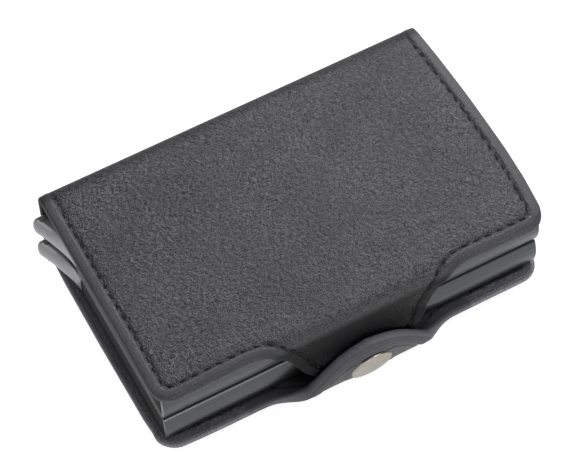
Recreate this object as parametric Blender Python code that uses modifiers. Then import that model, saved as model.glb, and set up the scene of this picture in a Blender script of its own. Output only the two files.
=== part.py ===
"""Double pop-up card holder: a folding leather cover with two flat aluminium card cases
inside it, each with a swinging lever that pushes its cards out, shut by a snap.

Metres, +Z up. The holder lies shut on its lower cover. +X is the end where the cards
come out, +Y is the spine, and the origin is the middle of the lower cover's underside.
"""

import math

import bmesh
import bpy
from mathutils import Matrix

MM = 0.001

# Clearances
SEAT_GAP = 0.22 * MM  # faces that are glued or pressed together
RUNNING_GAP = 0.3 * MM  # faces that slide or turn past each other
CUT_OVERRUN = 1.0 * MM  # how far a cutter runs past the wall that it cuts

# Cards
CARD_PITCH = 1.3 * MM  # one embossed card in a loose stack
CARDS = 5

# Card case, an extruded aluminium tube that fills its cover from the spine to the tongue
CASE_HEIGHT = 9.2 * MM
CASE_WALL = 0.8 * MM
CASE_SIDE_BULGE = 0.65 * MM
CASE_EDGE_RADIUS = 1.0 * MM
CASE_BORE_RADIUS = 0.4 * MM
CASE_MOUTH_INSET = 0.8 * MM
CASE_END_INSET = 1.7 * MM
CASES_APART = 0.8 * MM
CASE_SPINE_GAP = 0.45 * MM

# Cover, three plies glued and sewn round the edge
COVER_LENGTH = 98.0 * MM
COVER_WIDTH = 61.2 * MM  # leaves a bore 54.6 mm wide for a card of 54 mm
LEATHER = 0.6 * MM
BOARD = 0.6 * MM
LINING = 0.6 * MM
PLY_GAP = 0.2 * MM
FRONT_CORNER_RADIUS = 5.1 * MM
SPINE_CORNER_RADIUS = 0.8 * MM
UPPER_FRONT_OVERHANG = 0.4 * MM
EDGE_ROUNDING = 0.7 * MM
RIM_WIDTH = 2.4 * MM
SPINE_LEATHER = 1.0 * MM
SPINE_LINING = 0.55 * MM
SPINE_LINING_SETBACK = 0.8 * MM

# Glue pad between each case and its cover
PAD_THICKNESS = 0.26 * MM
PAD_MARGIN = 7.0 * MM
PAD_CORNER_RADIUS = 3.0 * MM

# Upper tongue, which folds down over the front of both cases
CLOSURE_X = 1.1 * MM
TONGUE_INSET = 0.25 * MM  # from the lower cover's front edge in to the tongue
TONGUE_CASE_GAP = 1.15 * MM
TONGUE_BEND_RADIUS = 3.6 * MM
TONGUE_ROOT_HALF_WIDTH = 25.0 * MM
TONGUE_TIP_HEIGHT = 2.8 * MM
TONGUE_LAP = 7.0 * MM
TONGUE_ROOT_FILLET = 3.0 * MM

# Outer tab, which folds up from the lower cover and carries the snap's cap
TAB_HALF_WIDTH = 17.0 * MM
TAB_HEIGHT = 15.0 * MM
TAB_TONGUE_GAP = 0.45 * MM
TAB_THICKNESS = 2.9 * MM
TAB_SETBACK = 0.6 * MM  # from the cover's front edge in to the tab's fold
TAB_FLARE = 2.6 * MM
TAB_FLARE_WIDTH = 6.3 * MM
TAB_LINING = 0.45 * MM
TAB_LINING_DEPTH = 0.3 * MM
TAB_RIM = 2.2 * MM

# Snap fastener
SNAP_HEIGHT = 6.4 * MM
CAP_RADIUS = 5.3 * MM
CAP_RISE = 0.55 * MM
CAP_EDGE = 0.3 * MM
CAP_SEAT_DEPTH = 0.4 * MM
CAP_LEAN = 10.0  # degrees that the cap faces down
SNAP_STEM_RADIUS = 1.5 * MM
SOCKET_RADIUS = 3.6 * MM
SOCKET_DEPTH = 1.3 * MM
SOCKET_FLOOR = 0.35 * MM
STUD_RADIUS = 1.9 * MM
STUD_NECK_RADIUS = 1.65 * MM
STUD_LENGTH = 1.0 * MM
STUD_PLAY = 0.4 * MM
SNAP_PLATE_RADIUS = 3.0 * MM
STUD_PLATE = 0.25 * MM
POST_PLATE = 0.4 * MM

# End plug, which closes the case behind the cards and holds the lever's pin
PLUG_WALL = 1.2 * MM
PLUG_CHEEK = 0.9 * MM
NOSE_WINDOW = 13.35 * MM  # what the plug leaves open for the lever's nose
CHEEK_LENGTH = 7.45 * MM
CHEEK_REACH = 6.7 * MM
CHEEK_CORNER_RADIUS = 2.0 * MM
PIN_RADIUS = 1.0 * MM

# Lever
EYE_RADIUS = 2.3 * MM
PIVOT_SETBACK = 3.15 * MM  # from the case's inner front wall
ARM_THICKNESS = 2.8 * MM
EYE_SHOULDER = 3.3 * MM  # from the eye's rim to where the arm takes its full height
NOSE_RADIUS = 3.0 * MM
NOSE_REACH = 4.5 * MM  # how far the nose stands out of the case
NOSE_ROUNDING = 1.9 * MM
WEDGE_STEP = 0.2 * MM
STEP_RISE = 0.82 * MM
STEP_BLOCK_LENGTH = 15.5 * MM
STEP_CORNER_RADIUS = 1.6 * MM
ARM_CORNER_RADIUS = 1.0 * MM

# Friction strips that hold the cards in
STRIP_LENGTH = 30.0 * MM
STRIP_WIDTH = 5.0 * MM
STRIP_THICKNESS = 0.9 * MM
STRIP_MOUTH_INSET = 4.0 * MM
STRIP_SPACING = 34.0 * MM
STRIP_CORNER_RADIUS = 1.0 * MM

# Heights, from the surface that the holder lies on
COVER_THICKNESS = LEATHER + BOARD + LINING + 2 * PLY_GAP
CASE_SEAT = PAD_THICKNESS + 2 * SEAT_GAP
LOWER_CASE_Z = COVER_THICKNESS + CASE_SEAT + CASE_HEIGHT / 2
UPPER_CASE_Z = LOWER_CASE_Z + CASE_HEIGHT + CASES_APART
UPPER_COVER_Z = UPPER_CASE_Z + CASE_HEIGHT / 2 + CASE_SEAT
HOLDER_HEIGHT = UPPER_COVER_Z + COVER_THICKNESS
FOLD_RADIUS = COVER_THICKNESS / 2
LOWER_FOLD_Z = FOLD_RADIUS
UPPER_FOLD_Z = HOLDER_HEIGHT - FOLD_RADIUS

# Places across the holder, from the spine to the front
FOLD_Y = COVER_WIDTH / 2 - FOLD_RADIUS
PANEL_BACK_Y = FOLD_Y - FOLD_RADIUS - RUNNING_GAP
PANEL_FRONT_Y = -COVER_WIDTH / 2
SPINE_INNER_Y = COVER_WIDTH / 2 - SPINE_LEATHER - RUNNING_GAP - SPINE_LINING
TONGUE_INNER_Y = PANEL_FRONT_Y + TONGUE_INSET
CASE_FRONT_Y = TONGUE_INNER_Y + TONGUE_CASE_GAP
CASE_REAR_Y = SPINE_INNER_Y - CASE_SPINE_GAP
CASE_Y = (CASE_FRONT_Y + CASE_REAR_Y) / 2
CASE_HALF_WIDTH = (CASE_REAR_Y - CASE_FRONT_Y) / 2 - CASE_SIDE_BULGE
BORE_HALF_WIDTH = CASE_HALF_WIDTH - CASE_WALL
TONGUE_OUTER_Y = TONGUE_INNER_Y - COVER_THICKNESS
TONGUE_BEND_Y = TONGUE_INNER_Y + TONGUE_BEND_RADIUS
POCKET_FRONT_Y = TONGUE_BEND_Y + RUNNING_GAP
TAB_BACK_Y = TONGUE_OUTER_Y - TAB_TONGUE_GAP
TAB_FRONT_Y = TAB_BACK_Y - TAB_THICKNESS
TAB_FOLD_Y = PANEL_FRONT_Y - TAB_SETBACK
TAB_FOLD_Z = FOLD_RADIUS

# Places along the holder
CASE_MOUTH_X = COVER_LENGTH / 2 - CASE_MOUTH_INSET
CASE_END_X = CASE_END_INSET - COVER_LENGTH / 2
BORE_HALF_HEIGHT = CASE_HEIGHT / 2 - CASE_WALL
BORE_FRONT_Y = CASE_Y - BORE_HALF_WIDTH
BORE_BACK_Y = CASE_Y + BORE_HALF_WIDTH
PLUG_HALF_HEIGHT = BORE_HALF_HEIGHT - RUNNING_GAP
PLUG_FACE_X = CASE_END_X + PLUG_WALL
PLUG_FRONT_Y = BORE_FRONT_Y + RUNNING_GAP
PLUG_BACK_Y = BORE_BACK_Y - NOSE_WINDOW
PIVOT_X = PLUG_FACE_X + RUNNING_GAP + EYE_RADIUS
PIVOT_Y = BORE_FRONT_Y + PIVOT_SETBACK
CHEEK_INNER = PLUG_HALF_HEIGHT - PLUG_CHEEK
EYE_HALF_HEIGHT = CHEEK_INNER - RUNNING_GAP
LEVER_BACK_Y = SPINE_INNER_Y - 2 * CASE_SPINE_GAP
PIN_BORE_RADIUS = PIN_RADIUS + RUNNING_GAP

# Turned pieces and arcs
ROUND_STEPS = 32
HOLE_STEPS = 24
ARC_STEPS = 6
EDGE_STEPS = 2
SMOOTH_STEPS = 4
MERGE = 0.01 * MM

# Outlines as shares of the sizes that they follow
TONGUE_OUTLINE_SHARES = (
    (1.0, 1.1),
    (1.0, 0.96),
    (0.86, 0.9),
    (0.735, 0.77),
    (0.67, 0.5),
    (0.58, 0.29),
    (0.47, 0.12),
    (0.3, 0.015),
    (0.0, 0.0),
)
TONGUE_SHOULDER_SHARES = (
    (1.0, 0.0),
    (0.95, 0.07),
    (0.88, 0.33),
    (0.8, 0.72),
    (0.72, 0.95),
    (0.64, 1.03),
)
TAB_OUTLINE_SHARES = (
    (1.0, 0.0),
    (0.93, 0.24),
    (0.81, 0.47),
    (0.62, 0.69),
    (0.36, 0.9),
    (0.0, 1.0),
)
TAB_OUTER_SHARES = (
    (0.0, 0.0),
    (0.34, 0.02),
    (0.68, 0.1),
    (0.85, 0.25),
    (0.96, 0.43),
    (1.0, 0.56),
    (0.97, 0.74),
    (0.86, 0.89),
    (0.7, 0.985),
    (0.5, 0.985),
)
TAB_RIM_HEIGHT_SHARE = 0.93
TAB_STAND_SHARES = ((0.0, 0.33), (0.1, 0.24), (0.5, 0.17))
FLARE_SHARES = ((0.0, 0.0), (0.5, 0.54), (1.0, 1.0))
STUD_BULB_SHARE = 0.45

# Colour, roughness and metallic value of each finish
FINISHES = {
    "leather": ((0.062, 0.064, 0.07), 0.48, 0.0),
    "lining": ((0.045, 0.046, 0.05), 0.6, 0.0),
    "board": ((0.3, 0.27, 0.22), 0.9, 0.0),
    "aluminium": ((0.16, 0.165, 0.175), 0.34, 1.0),
    "black_plastic": ((0.012, 0.012, 0.013), 0.4, 0.0),
    "grey_plastic": ((0.13, 0.13, 0.135), 0.35, 0.0),
    "steel": ((0.5, 0.5, 0.5), 0.3, 1.0),
    "nickel": ((0.66, 0.62, 0.55), 0.22, 1.0),
    "felt": ((0.03, 0.03, 0.032), 0.95, 0.0),
    "glue_pad": ((0.55, 0.55, 0.5), 0.8, 0.0),
}

# Each plane's matrix takes an outline's (across, up) and the extrusion's depth to the world
PLANES = {
    "plan": Matrix.Identity(4),
    "front": Matrix(((1, 0, 0, 0), (0, 0, -1, 0), (0, 1, 0, 0), (0, 0, 0, 1))),
    "side": Matrix(((0, 0, 1, 0), (1, 0, 0, 0), (0, 1, 0, 0), (0, 0, 0, 1))),
}


def clear_scene():
    for obj in list(bpy.data.objects):
        bpy.data.objects.remove(obj)


def new_collection(name):
    collection = bpy.data.collections.new(name)
    bpy.context.scene.collection.children.link(collection)
    return collection


def make_material(name):
    colour, roughness, metallic = FINISHES[name]
    material = bpy.data.materials.new(name)
    material.use_nodes = True
    shader = material.node_tree.nodes["Principled BSDF"]
    shader.inputs["Base Color"].default_value = (*colour, 1.0)
    shader.inputs["Roughness"].default_value = roughness
    shader.inputs["Metallic"].default_value = metallic
    material.diffuse_color = (*colour, 1.0)
    return material


def arc(centre, radius, start, end, steps=ARC_STEPS):
    """Points along an arc between two angles in degrees."""
    points = []
    for i in range(steps + 1):
        angle = math.radians(start + (end - start) * i / steps)
        across = centre[0] + radius * math.cos(angle)
        points.append((across, centre[1] + radius * math.sin(angle)))
    return points


def smooth(points, steps=SMOOTH_STEPS):
    """A Catmull-Rom curve through the points, both ends included."""
    padded = [points[0], *points, points[-1]]
    found = []
    for i in range(len(points) - 1):
        p0, p1, p2, p3 = padded[i : i + 4]
        for step in range(steps):
            t = step / steps
            found.append(
                tuple(
                    (
                        2 * b
                        + (c - a) * t
                        + (2 * a - 5 * b + 4 * c - d) * t**2
                        + (3 * b - a - 3 * c + d) * t**3
                    )
                    / 2
                    for a, b, c, d in zip(p0, p1, p2, p3)
                )
            )
    found.append(points[-1])
    return found


def rounded_box(low, high, radii):
    """A rectangle whose corners have the given radii, from the low corner anticlockwise."""
    corners = ((low[0], low[1]), (high[0], low[1]), (high[0], high[1]), (low[0], high[1]))
    inward = ((1, 1), (-1, 1), (-1, -1), (1, -1))
    points = []
    for i, (corner, side, radius) in enumerate(zip(corners, inward, radii)):
        centre = (corner[0] + side[0] * radius, corner[1] + side[1] * radius)
        start = 180 + 90 * i
        points += arc(centre, radius, start, start + 90)
    return points


def circle(centre, radius, steps=HOLE_STEPS):
    return arc(centre, radius, 0, 360, steps)[:-1]


def mirrored(half, middle):
    """The outline whose right half is given from its top or bottom, mirrored about a line."""
    right = [(middle + across, up) for across, up in half]
    left = [(middle - across, up) for across, up in reversed(half) if across > 0]
    return right + left


def extruded_mesh(name, outlines, low, high, plane):
    """A flat outline, with any further outlines as holes, extruded between two depths."""
    curve = bpy.data.curves.new(name, "CURVE")
    curve.dimensions = "2D"
    curve.fill_mode = "BOTH"
    curve.extrude = (high - low) / 2
    for points in outlines:
        spline = curve.splines.new("POLY")
        spline.points.add(len(points) - 1)
        for point, place in zip(spline.points, points):
            point.co = (*place, 0, 1)
        spline.use_cyclic_u = True
    holder = bpy.data.objects.new(name, curve)
    bpy.context.scene.collection.objects.link(holder)
    mesh = bpy.data.meshes.new_from_object(
        holder.evaluated_get(bpy.context.evaluated_depsgraph_get())
    )
    bpy.data.objects.remove(holder)
    middle = (low + high) / 2
    depth = -middle if plane == "front" else middle
    mesh.transform(PLANES[plane] @ Matrix.Translation((0, 0, depth)))
    edit = bmesh.new()
    edit.from_mesh(mesh)
    bmesh.ops.remove_doubles(edit, verts=edit.verts, dist=MERGE)
    bmesh.ops.recalc_face_normals(edit, faces=edit.faces)
    edit.to_mesh(mesh)
    edit.free()
    return mesh


def add_object(name, mesh, collection, finish=None, parent=None):
    obj = bpy.data.objects.new(name, mesh)
    collection.objects.link(obj)
    if finish:
        mesh.materials.clear()
        mesh.materials.append(finish)
        mesh.shade_smooth()
        mesh.set_sharp_from_angle(angle=math.radians(35))
    if parent:
        obj.parent = parent
        obj.matrix_parent_inverse = parent.matrix_world.inverted()
    return obj


def add_cutter(name, mesh):
    obj = add_object(name, mesh, CUTTERS)
    obj.hide_render = True
    obj.display_type = "WIRE"
    return obj


def boolean(obj, tool, operation):
    modifier = obj.modifiers.new(tool.name, "BOOLEAN")
    modifier.operation = operation
    modifier.solver = "EXACT"
    modifier.object = tool
    return obj


def finished_mesh(obj):
    """The mesh that an object's modifiers make, for pieces that are made more than once."""
    bpy.context.view_layer.update()
    graph = bpy.context.evaluated_depsgraph_get()
    return bpy.data.meshes.new_from_object(obj.evaluated_get(graph))


def add_pivot(name, place):
    pivot = bpy.data.objects.new(name, None)
    pivot.location = place
    PARTS.objects.link(pivot)
    bpy.context.view_layer.update()
    return pivot


def turned(name, profile, place, lean, collection, finish=None, parent=None):
    """A profile of (radius, height) points, top to bottom, turned about -Y and leaned down."""
    mesh = bpy.data.meshes.new(name)
    edges = [(i, i + 1) for i in range(len(profile) - 1)]
    mesh.from_pydata([(radius, 0, height) for radius, height in profile], edges, [])
    obj = add_object(name, mesh, collection)
    screw = obj.modifiers.new("turn", "SCREW")
    screw.steps = ROUND_STEPS
    screw.render_steps = ROUND_STEPS
    screw.use_merge_vertices = True
    screw.merge_threshold = MERGE
    whole = finished_mesh(obj)
    bpy.data.objects.remove(obj)
    whole.transform(Matrix.Rotation(math.radians(90 + lean), 4, "X"))
    if finish is None:
        made = add_cutter(name, whole)
    else:
        made = add_object(name, whole, collection, finish)
    made.location = place
    bpy.context.view_layer.update()
    if parent:
        made.parent = parent
        made.matrix_parent_inverse = parent.matrix_world.inverted()
    return made


def rounded_panel(name, front_y, low, high):
    """A cover panel, its front corners and its upper and lower edges rounded."""
    half = COVER_LENGTH / 2
    radii = (
        FRONT_CORNER_RADIUS,
        FRONT_CORNER_RADIUS,
        SPINE_CORNER_RADIUS,
        SPINE_CORNER_RADIUS,
    )
    outline = rounded_box((-half, front_y), (half, PANEL_BACK_Y), radii)
    mesh = extruded_mesh(name, [outline], low, high, "plan")
    panel = add_object(name, mesh, PARTS, MATERIALS["leather"])
    bevel = panel.modifiers.new("edge_rounding", "BEVEL")
    bevel.width = EDGE_ROUNDING
    bevel.segments = EDGE_STEPS
    bevel.limit_method = "ANGLE"
    bevel.angle_limit = math.radians(60)
    return panel


def pocket_outline(inset):
    """The recess behind a panel's rim, or a ply that fills it when it is inset further."""
    half = COVER_LENGTH / 2 - RIM_WIDTH - inset
    low = (-half, POCKET_FRONT_Y + inset)
    high = (half, PANEL_BACK_Y - RIM_WIDTH / 2 - inset)
    return rounded_box(low, high, [FRONT_CORNER_RADIUS / 2] * 4)


def upper_cover(pivot):
    """Leather with its tongue, the board and the lining of the upper cover."""
    front = PANEL_FRONT_Y - UPPER_FRONT_OVERHANG
    leather = rounded_panel("upper_cover_leather", front, UPPER_COVER_Z, HOLDER_HEIGHT)
    leather.parent = pivot
    leather.matrix_parent_inverse = pivot.matrix_world.inverted()
    shoulder = TONGUE_ROOT_HALF_WIDTH - TONGUE_ROOT_FILLET
    gap_low = (CLOSURE_X - shoulder, front - CUT_OVERRUN)
    gap_high = (CLOSURE_X + shoulder, TONGUE_BEND_Y)
    outer_corner = RUNNING_GAP
    radii = (outer_corner, outer_corner, TONGUE_ROOT_FILLET, TONGUE_ROOT_FILLET)
    gap = rounded_box(gap_low, gap_high, radii)
    over = UPPER_COVER_Z - CUT_OVERRUN
    under = HOLDER_HEIGHT + CUT_OVERRUN
    boolean(
        leather,
        add_cutter("tongue_gap", extruded_mesh("tongue_gap", [gap], over, under, "plan")),
        "DIFFERENCE",
    )
    boolean(leather, tongue_strap(), "UNION")
    inside = UPPER_COVER_Z + COVER_THICKNESS - LEATHER
    pocket = extruded_mesh("upper_pocket", [pocket_outline(0)], over, inside, "plan")
    boolean(leather, add_cutter("upper_pocket", pocket), "DIFFERENCE")
    post_hole = extruded_mesh(
        "post_hole",
        [circle((CLOSURE_X, SNAP_HEIGHT), SNAP_STEM_RADIUS + RUNNING_GAP)],
        TONGUE_OUTER_Y - CUT_OVERRUN,
        TONGUE_INNER_Y + CUT_OVERRUN,
        "front",
    )
    boolean(leather, add_cutter("post_hole", post_hole), "DIFFERENCE")
    board_top = inside - PLY_GAP
    ply = [pocket_outline(RUNNING_GAP)]
    add_object(
        "upper_board",
        extruded_mesh("upper_board", ply, board_top - BOARD, board_top, "plan"),
        PARTS,
        MATERIALS["board"],
        pivot,
    )
    add_object(
        "upper_lining",
        extruded_mesh("upper_lining", ply, UPPER_COVER_Z, UPPER_COVER_Z + LINING, "plan"),
        PARTS,
        MATERIALS["lining"],
        pivot,
    )


def tongue_strap():
    """The strap's bent section, cut to the tongue's outline as seen from the front."""
    centre = (TONGUE_BEND_Y, UPPER_COVER_Z - TONGUE_BEND_RADIUS)
    start = TONGUE_BEND_Y + TONGUE_LAP
    tip = (TONGUE_INNER_Y - FOLD_RADIUS, TONGUE_TIP_HEIGHT + FOLD_RADIUS)
    outer_radius = TONGUE_BEND_RADIUS + COVER_THICKNESS
    section = [(start, UPPER_COVER_Z)]
    section += arc(centre, TONGUE_BEND_RADIUS, 90, 180)
    section += arc(tip, FOLD_RADIUS, 0, -180)
    section += arc(centre, outer_radius, 180, 90)
    section.append((start, HOLDER_HEIGHT))
    reach = TONGUE_ROOT_HALF_WIDTH + CUT_OVERRUN
    strap = add_cutter(
        "tongue_strap",
        extruded_mesh(
            "tongue_strap", [section], CLOSURE_X - reach, CLOSURE_X + reach, "side"
        ),
    )
    rise = HOLDER_HEIGHT - TONGUE_TIP_HEIGHT
    half = [
        (share * TONGUE_ROOT_HALF_WIDTH, TONGUE_TIP_HEIGHT + up_share * rise)
        for share, up_share in TONGUE_OUTLINE_SHARES
    ]
    outline = extruded_mesh(
        "tongue_outline",
        [mirrored(smooth(half), CLOSURE_X)],
        TONGUE_OUTER_Y - CUT_OVERRUN,
        start + CUT_OVERRUN,
        "front",
    )
    boolean(strap, add_cutter("tongue_outline", outline), "INTERSECT")
    front = PANEL_FRONT_Y - UPPER_FRONT_OVERHANG
    stand = front - TONGUE_OUTER_Y
    shoulder = [
        (share * TONGUE_ROOT_HALF_WIDTH, front - out_share * stand)
        for share, out_share in TONGUE_SHOULDER_SHARES
    ]
    half = [(TONGUE_ROOT_HALF_WIDTH, start), *smooth(shoulder), (0, TONGUE_OUTER_Y - CUT_OVERRUN)]
    plan = extruded_mesh(
        "tongue_shoulder",
        [mirrored(half, CLOSURE_X)],
        TONGUE_TIP_HEIGHT - CUT_OVERRUN,
        HOLDER_HEIGHT + CUT_OVERRUN,
        "plan",
    )
    return boolean(strap, add_cutter("tongue_shoulder", plan), "INTERSECT")


def lower_cover():
    """Leather, board and lining of the lower cover, with the gap for the tab's fold."""
    leather = rounded_panel("lower_cover_leather", PANEL_FRONT_Y, 0, COVER_THICKNESS)
    root = TAB_HALF_WIDTH + RUNNING_GAP
    back = TAB_FOLD_Y + FOLD_RADIUS + RUNNING_GAP
    flare = [
        (root + (1 - share) * TAB_FLARE_WIDTH, PANEL_FRONT_Y - rise_share * TAB_FLARE)
        for share, rise_share in FLARE_SHARES
    ]
    base = (root + TAB_FLARE_WIDTH, PANEL_FRONT_Y + TAB_FLARE)
    ears = add_cutter(
        "tab_flare",
        extruded_mesh(
            "tab_flare", [mirrored([base, *smooth(flare)], CLOSURE_X)], 0, COVER_THICKNESS, "plan"
        ),
    )
    boolean(leather, ears, "UNION")
    top = COVER_THICKNESS + CUT_OVERRUN
    gap_low = (CLOSURE_X - root, PANEL_FRONT_Y - TAB_FLARE - CUT_OVERRUN)
    gap = rounded_box(gap_low, (CLOSURE_X + root, back), [RUNNING_GAP] * 4)
    gap_mesh = extruded_mesh("tab_gap", [gap], -CUT_OVERRUN, top, "plan")
    boolean(leather, add_cutter("tab_gap", gap_mesh), "DIFFERENCE")
    pocket = extruded_mesh("lower_pocket", [pocket_outline(0)], LEATHER, top, "plan")
    boolean(leather, add_cutter("lower_pocket", pocket), "DIFFERENCE")
    board_low = LEATHER + PLY_GAP
    ply = [pocket_outline(RUNNING_GAP)]
    add_object(
        "lower_board",
        extruded_mesh("lower_board", ply, board_low, board_low + BOARD, "plan"),
        PARTS,
        MATERIALS["board"],
    )
    add_object(
        "lower_lining",
        extruded_mesh(
            "lower_lining", ply, COVER_THICKNESS - LINING, COVER_THICKNESS, "plan"
        ),
        PARTS,
        MATERIALS["lining"],
    )


def spine(pivot):
    """The leather between the two folds, with a round bead on each fold's axis."""
    inner = COVER_WIDTH / 2 - SPINE_LEATHER
    meet = math.degrees(math.acos((inner - FOLD_Y) / FOLD_RADIUS))
    section = arc((FOLD_Y, LOWER_FOLD_Z), FOLD_RADIUS, meet, 360, 3 * ARC_STEPS)
    section += arc((FOLD_Y, UPPER_FOLD_Z), FOLD_RADIUS, 0, 360 - meet, 3 * ARC_STEPS)
    half = COVER_LENGTH / 2
    add_object(
        "spine_leather",
        extruded_mesh("spine_leather", [section], -half, half, "side"),
        PARTS,
        MATERIALS["leather"],
        pivot,
    )
    low = COVER_THICKNESS + SPINE_LINING_SETBACK
    high = UPPER_COVER_Z - SPINE_LINING_SETBACK
    inside = half - RIM_WIDTH
    lining = rounded_box((-inside, low), (inside, high), [FRONT_CORNER_RADIUS / 2] * 4)
    add_object(
        "spine_lining",
        extruded_mesh(
            "spine_lining", [lining], SPINE_INNER_Y, SPINE_INNER_Y + SPINE_LINING, "front"
        ),
        PARTS,
        MATERIALS["lining"],
        pivot,
    )


def tab_outline(inset):
    """The outer tab as seen from the front, or a smaller outline at an even inset."""
    half = [
        (share * (TAB_HALF_WIDTH - inset), up_share * (TAB_HEIGHT - inset))
        for share, up_share in TAB_OUTLINE_SHARES
    ]
    return mirrored(smooth(half), CLOSURE_X)


def closure_tab(pivot):
    """The padded tab, a curved section cut to its outline, and the lining in its back."""
    depth = TAB_FOLD_Y - TAB_FRONT_Y
    outer = [
        (TAB_FOLD_Y - share * depth, up_share * TAB_HEIGHT)
        for share, up_share in TAB_OUTER_SHARES
    ]
    back = TAB_FOLD_Y - TAB_BACK_Y
    stand = [
        (TAB_BACK_Y + share * back, up_share * TAB_HEIGHT)
        for share, up_share in TAB_STAND_SHARES
    ]
    fold_top = (TAB_FOLD_Y, TAB_FOLD_Z + FOLD_RADIUS)
    section = smooth(outer)
    section.append((TAB_BACK_Y, TAB_RIM_HEIGHT_SHARE * TAB_HEIGHT))
    section += smooth([*stand, fold_top])
    section += arc((TAB_FOLD_Y, TAB_FOLD_Z), FOLD_RADIUS, 90, -90, 2 * ARC_STEPS)[1:-1]
    reach = TAB_HALF_WIDTH + CUT_OVERRUN
    leather = add_object(
        "closure_tab_leather",
        extruded_mesh(
            "closure_tab_leather", [section], CLOSURE_X - reach, CLOSURE_X + reach, "side"
        ),
        PARTS,
        MATERIALS["leather"],
        pivot,
    )
    deep = TAB_FRONT_Y - CUT_OVERRUN
    outline = tab_outline(0)
    feet = ((CLOSURE_X - TAB_HALF_WIDTH, -CUT_OVERRUN), (CLOSURE_X + TAB_HALF_WIDTH, -CUT_OVERRUN))
    trim = extruded_mesh("tab_trim", [[*outline, *feet]], deep, PANEL_FRONT_Y + TAB_FLARE, "front")
    boolean(leather, add_cutter("tab_trim", trim), "INTERSECT")
    floor = TAB_FOLD_Z + FOLD_RADIUS + TAB_RIM
    recess = above(tab_outline(TAB_RIM), floor)
    recess_deep = TAB_BACK_Y - TAB_LINING_DEPTH - TAB_LINING - SEAT_GAP
    boolean(
        leather,
        add_cutter(
            "tab_recess",
            extruded_mesh("tab_recess", [recess], recess_deep, PANEL_FRONT_Y, "front"),
        ),
        "DIFFERENCE",
    )
    lining = above(tab_outline(TAB_RIM + RUNNING_GAP), floor + RUNNING_GAP)
    socket_hole = circle((CLOSURE_X, SNAP_HEIGHT), SOCKET_RADIUS + RUNNING_GAP)
    lining_front = TAB_BACK_Y - TAB_LINING_DEPTH
    lining_object = add_object(
        "closure_tab_lining",
        extruded_mesh(
            "closure_tab_lining", [lining], lining_front - TAB_LINING, lining_front, "front"
        ),
        PARTS,
        MATERIALS["lining"],
        pivot,
    )
    socket_back = lining_front - SOCKET_DEPTH
    seat = add_cutter(
        "socket_seat",
        extruded_mesh("socket_seat", [socket_hole], socket_back - SEAT_GAP, PANEL_FRONT_Y, "front"),
    )
    boolean(leather, seat, "DIFFERENCE")
    boolean(lining_object, seat, "DIFFERENCE")
    cap_seat(leather)
    return socket_back


def above(outline, floor):
    """The part of an outline that lies above a height, closed along it."""
    kept = [point for point in outline if point[1] > floor]
    left = min(across for across, _ in kept)
    right = max(across for across, _ in kept)
    return [(right, floor), *kept, (left, floor)]


def cap_place():
    """The middle of the cap's back, on the leaning face of the tab."""
    return (CLOSURE_X, TAB_FRONT_Y + CAP_SEAT_DEPTH, SNAP_HEIGHT)


def cap_seat(leather):
    """The hollow that the cap is pressed into, and the hole for its stem."""
    rim = CAP_RADIUS + SEAT_GAP
    stem = SNAP_STEM_RADIUS + RUNNING_GAP
    out = CAP_RADIUS
    profile = [(0, out), (rim, out), (rim, -SEAT_GAP), (stem, -SEAT_GAP), (stem, -TAB_THICKNESS)]
    profile.append((0, -TAB_THICKNESS))
    seat = turned("cap_seat", profile, cap_place(), CAP_LEAN, CUTTERS)
    boolean(leather, seat, "DIFFERENCE")


def snap(tab_pivot, cover_pivot, socket_back):
    """Cap and socket on the tab, and the stud and its post on the tongue."""
    x, y, z = cap_place()
    stem_end = -(socket_back - SEAT_GAP - y)
    cap = [
        *dome(CAP_RADIUS, CAP_EDGE, CAP_RISE),
        (CAP_RADIUS, 0),
        (SNAP_STEM_RADIUS, 0),
        (SNAP_STEM_RADIUS, stem_end),
        (0, stem_end),
    ]
    metal = MATERIALS["nickel"]
    turned("snap_cap", cap, (x, y, z), CAP_LEAN, PARTS, metal, tab_pivot)
    bore = STUD_RADIUS + STUD_PLAY
    socket = [
        (0, 0),
        (SOCKET_RADIUS, 0),
        (SOCKET_RADIUS, -SOCKET_DEPTH),
        (bore, -SOCKET_DEPTH),
        (bore, -SOCKET_FLOOR),
        (0, -SOCKET_FLOOR),
    ]
    face = (CLOSURE_X, socket_back, SNAP_HEIGHT)
    turned("snap_socket", socket, face, 0, PARTS, metal, tab_pivot)
    plate_back = TONGUE_OUTER_Y - SEAT_GAP
    bulb = STUD_PLATE + STUD_LENGTH * (1 - STUD_BULB_SHARE)
    stud = [
        *dome(STUD_RADIUS, bulb, STUD_LENGTH * STUD_BULB_SHARE),
        (STUD_NECK_RADIUS, STUD_PLATE),
        (SNAP_PLATE_RADIUS, STUD_PLATE),
        (SNAP_PLATE_RADIUS, 0),
        (0, 0),
    ]
    place = (CLOSURE_X, plate_back, SNAP_HEIGHT)
    turned("snap_stud", stud, place, 0, PARTS, metal, cover_pivot)
    post_back = TONGUE_INNER_Y + SEAT_GAP
    stem_tip = post_back - plate_back - SEAT_GAP
    post = [
        (0, stem_tip),
        (SNAP_STEM_RADIUS, stem_tip),
        (SNAP_STEM_RADIUS, 0),
        (SNAP_PLATE_RADIUS, 0),
        (SNAP_PLATE_RADIUS, -POST_PLATE),
        (0, -POST_PLATE),
    ]
    place = (CLOSURE_X, post_back, SNAP_HEIGHT)
    turned("snap_post", post, place, 0, PARTS, MATERIALS["steel"], cover_pivot)


def dome(radius, base, rise):
    """A quarter ellipse from the middle of a dome down to its rim."""
    angles = [math.radians(90 * i / ARC_STEPS) for i in range(ARC_STEPS + 1)]
    return [(radius * math.sin(angle), base + rise * math.cos(angle)) for angle in angles]


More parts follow.
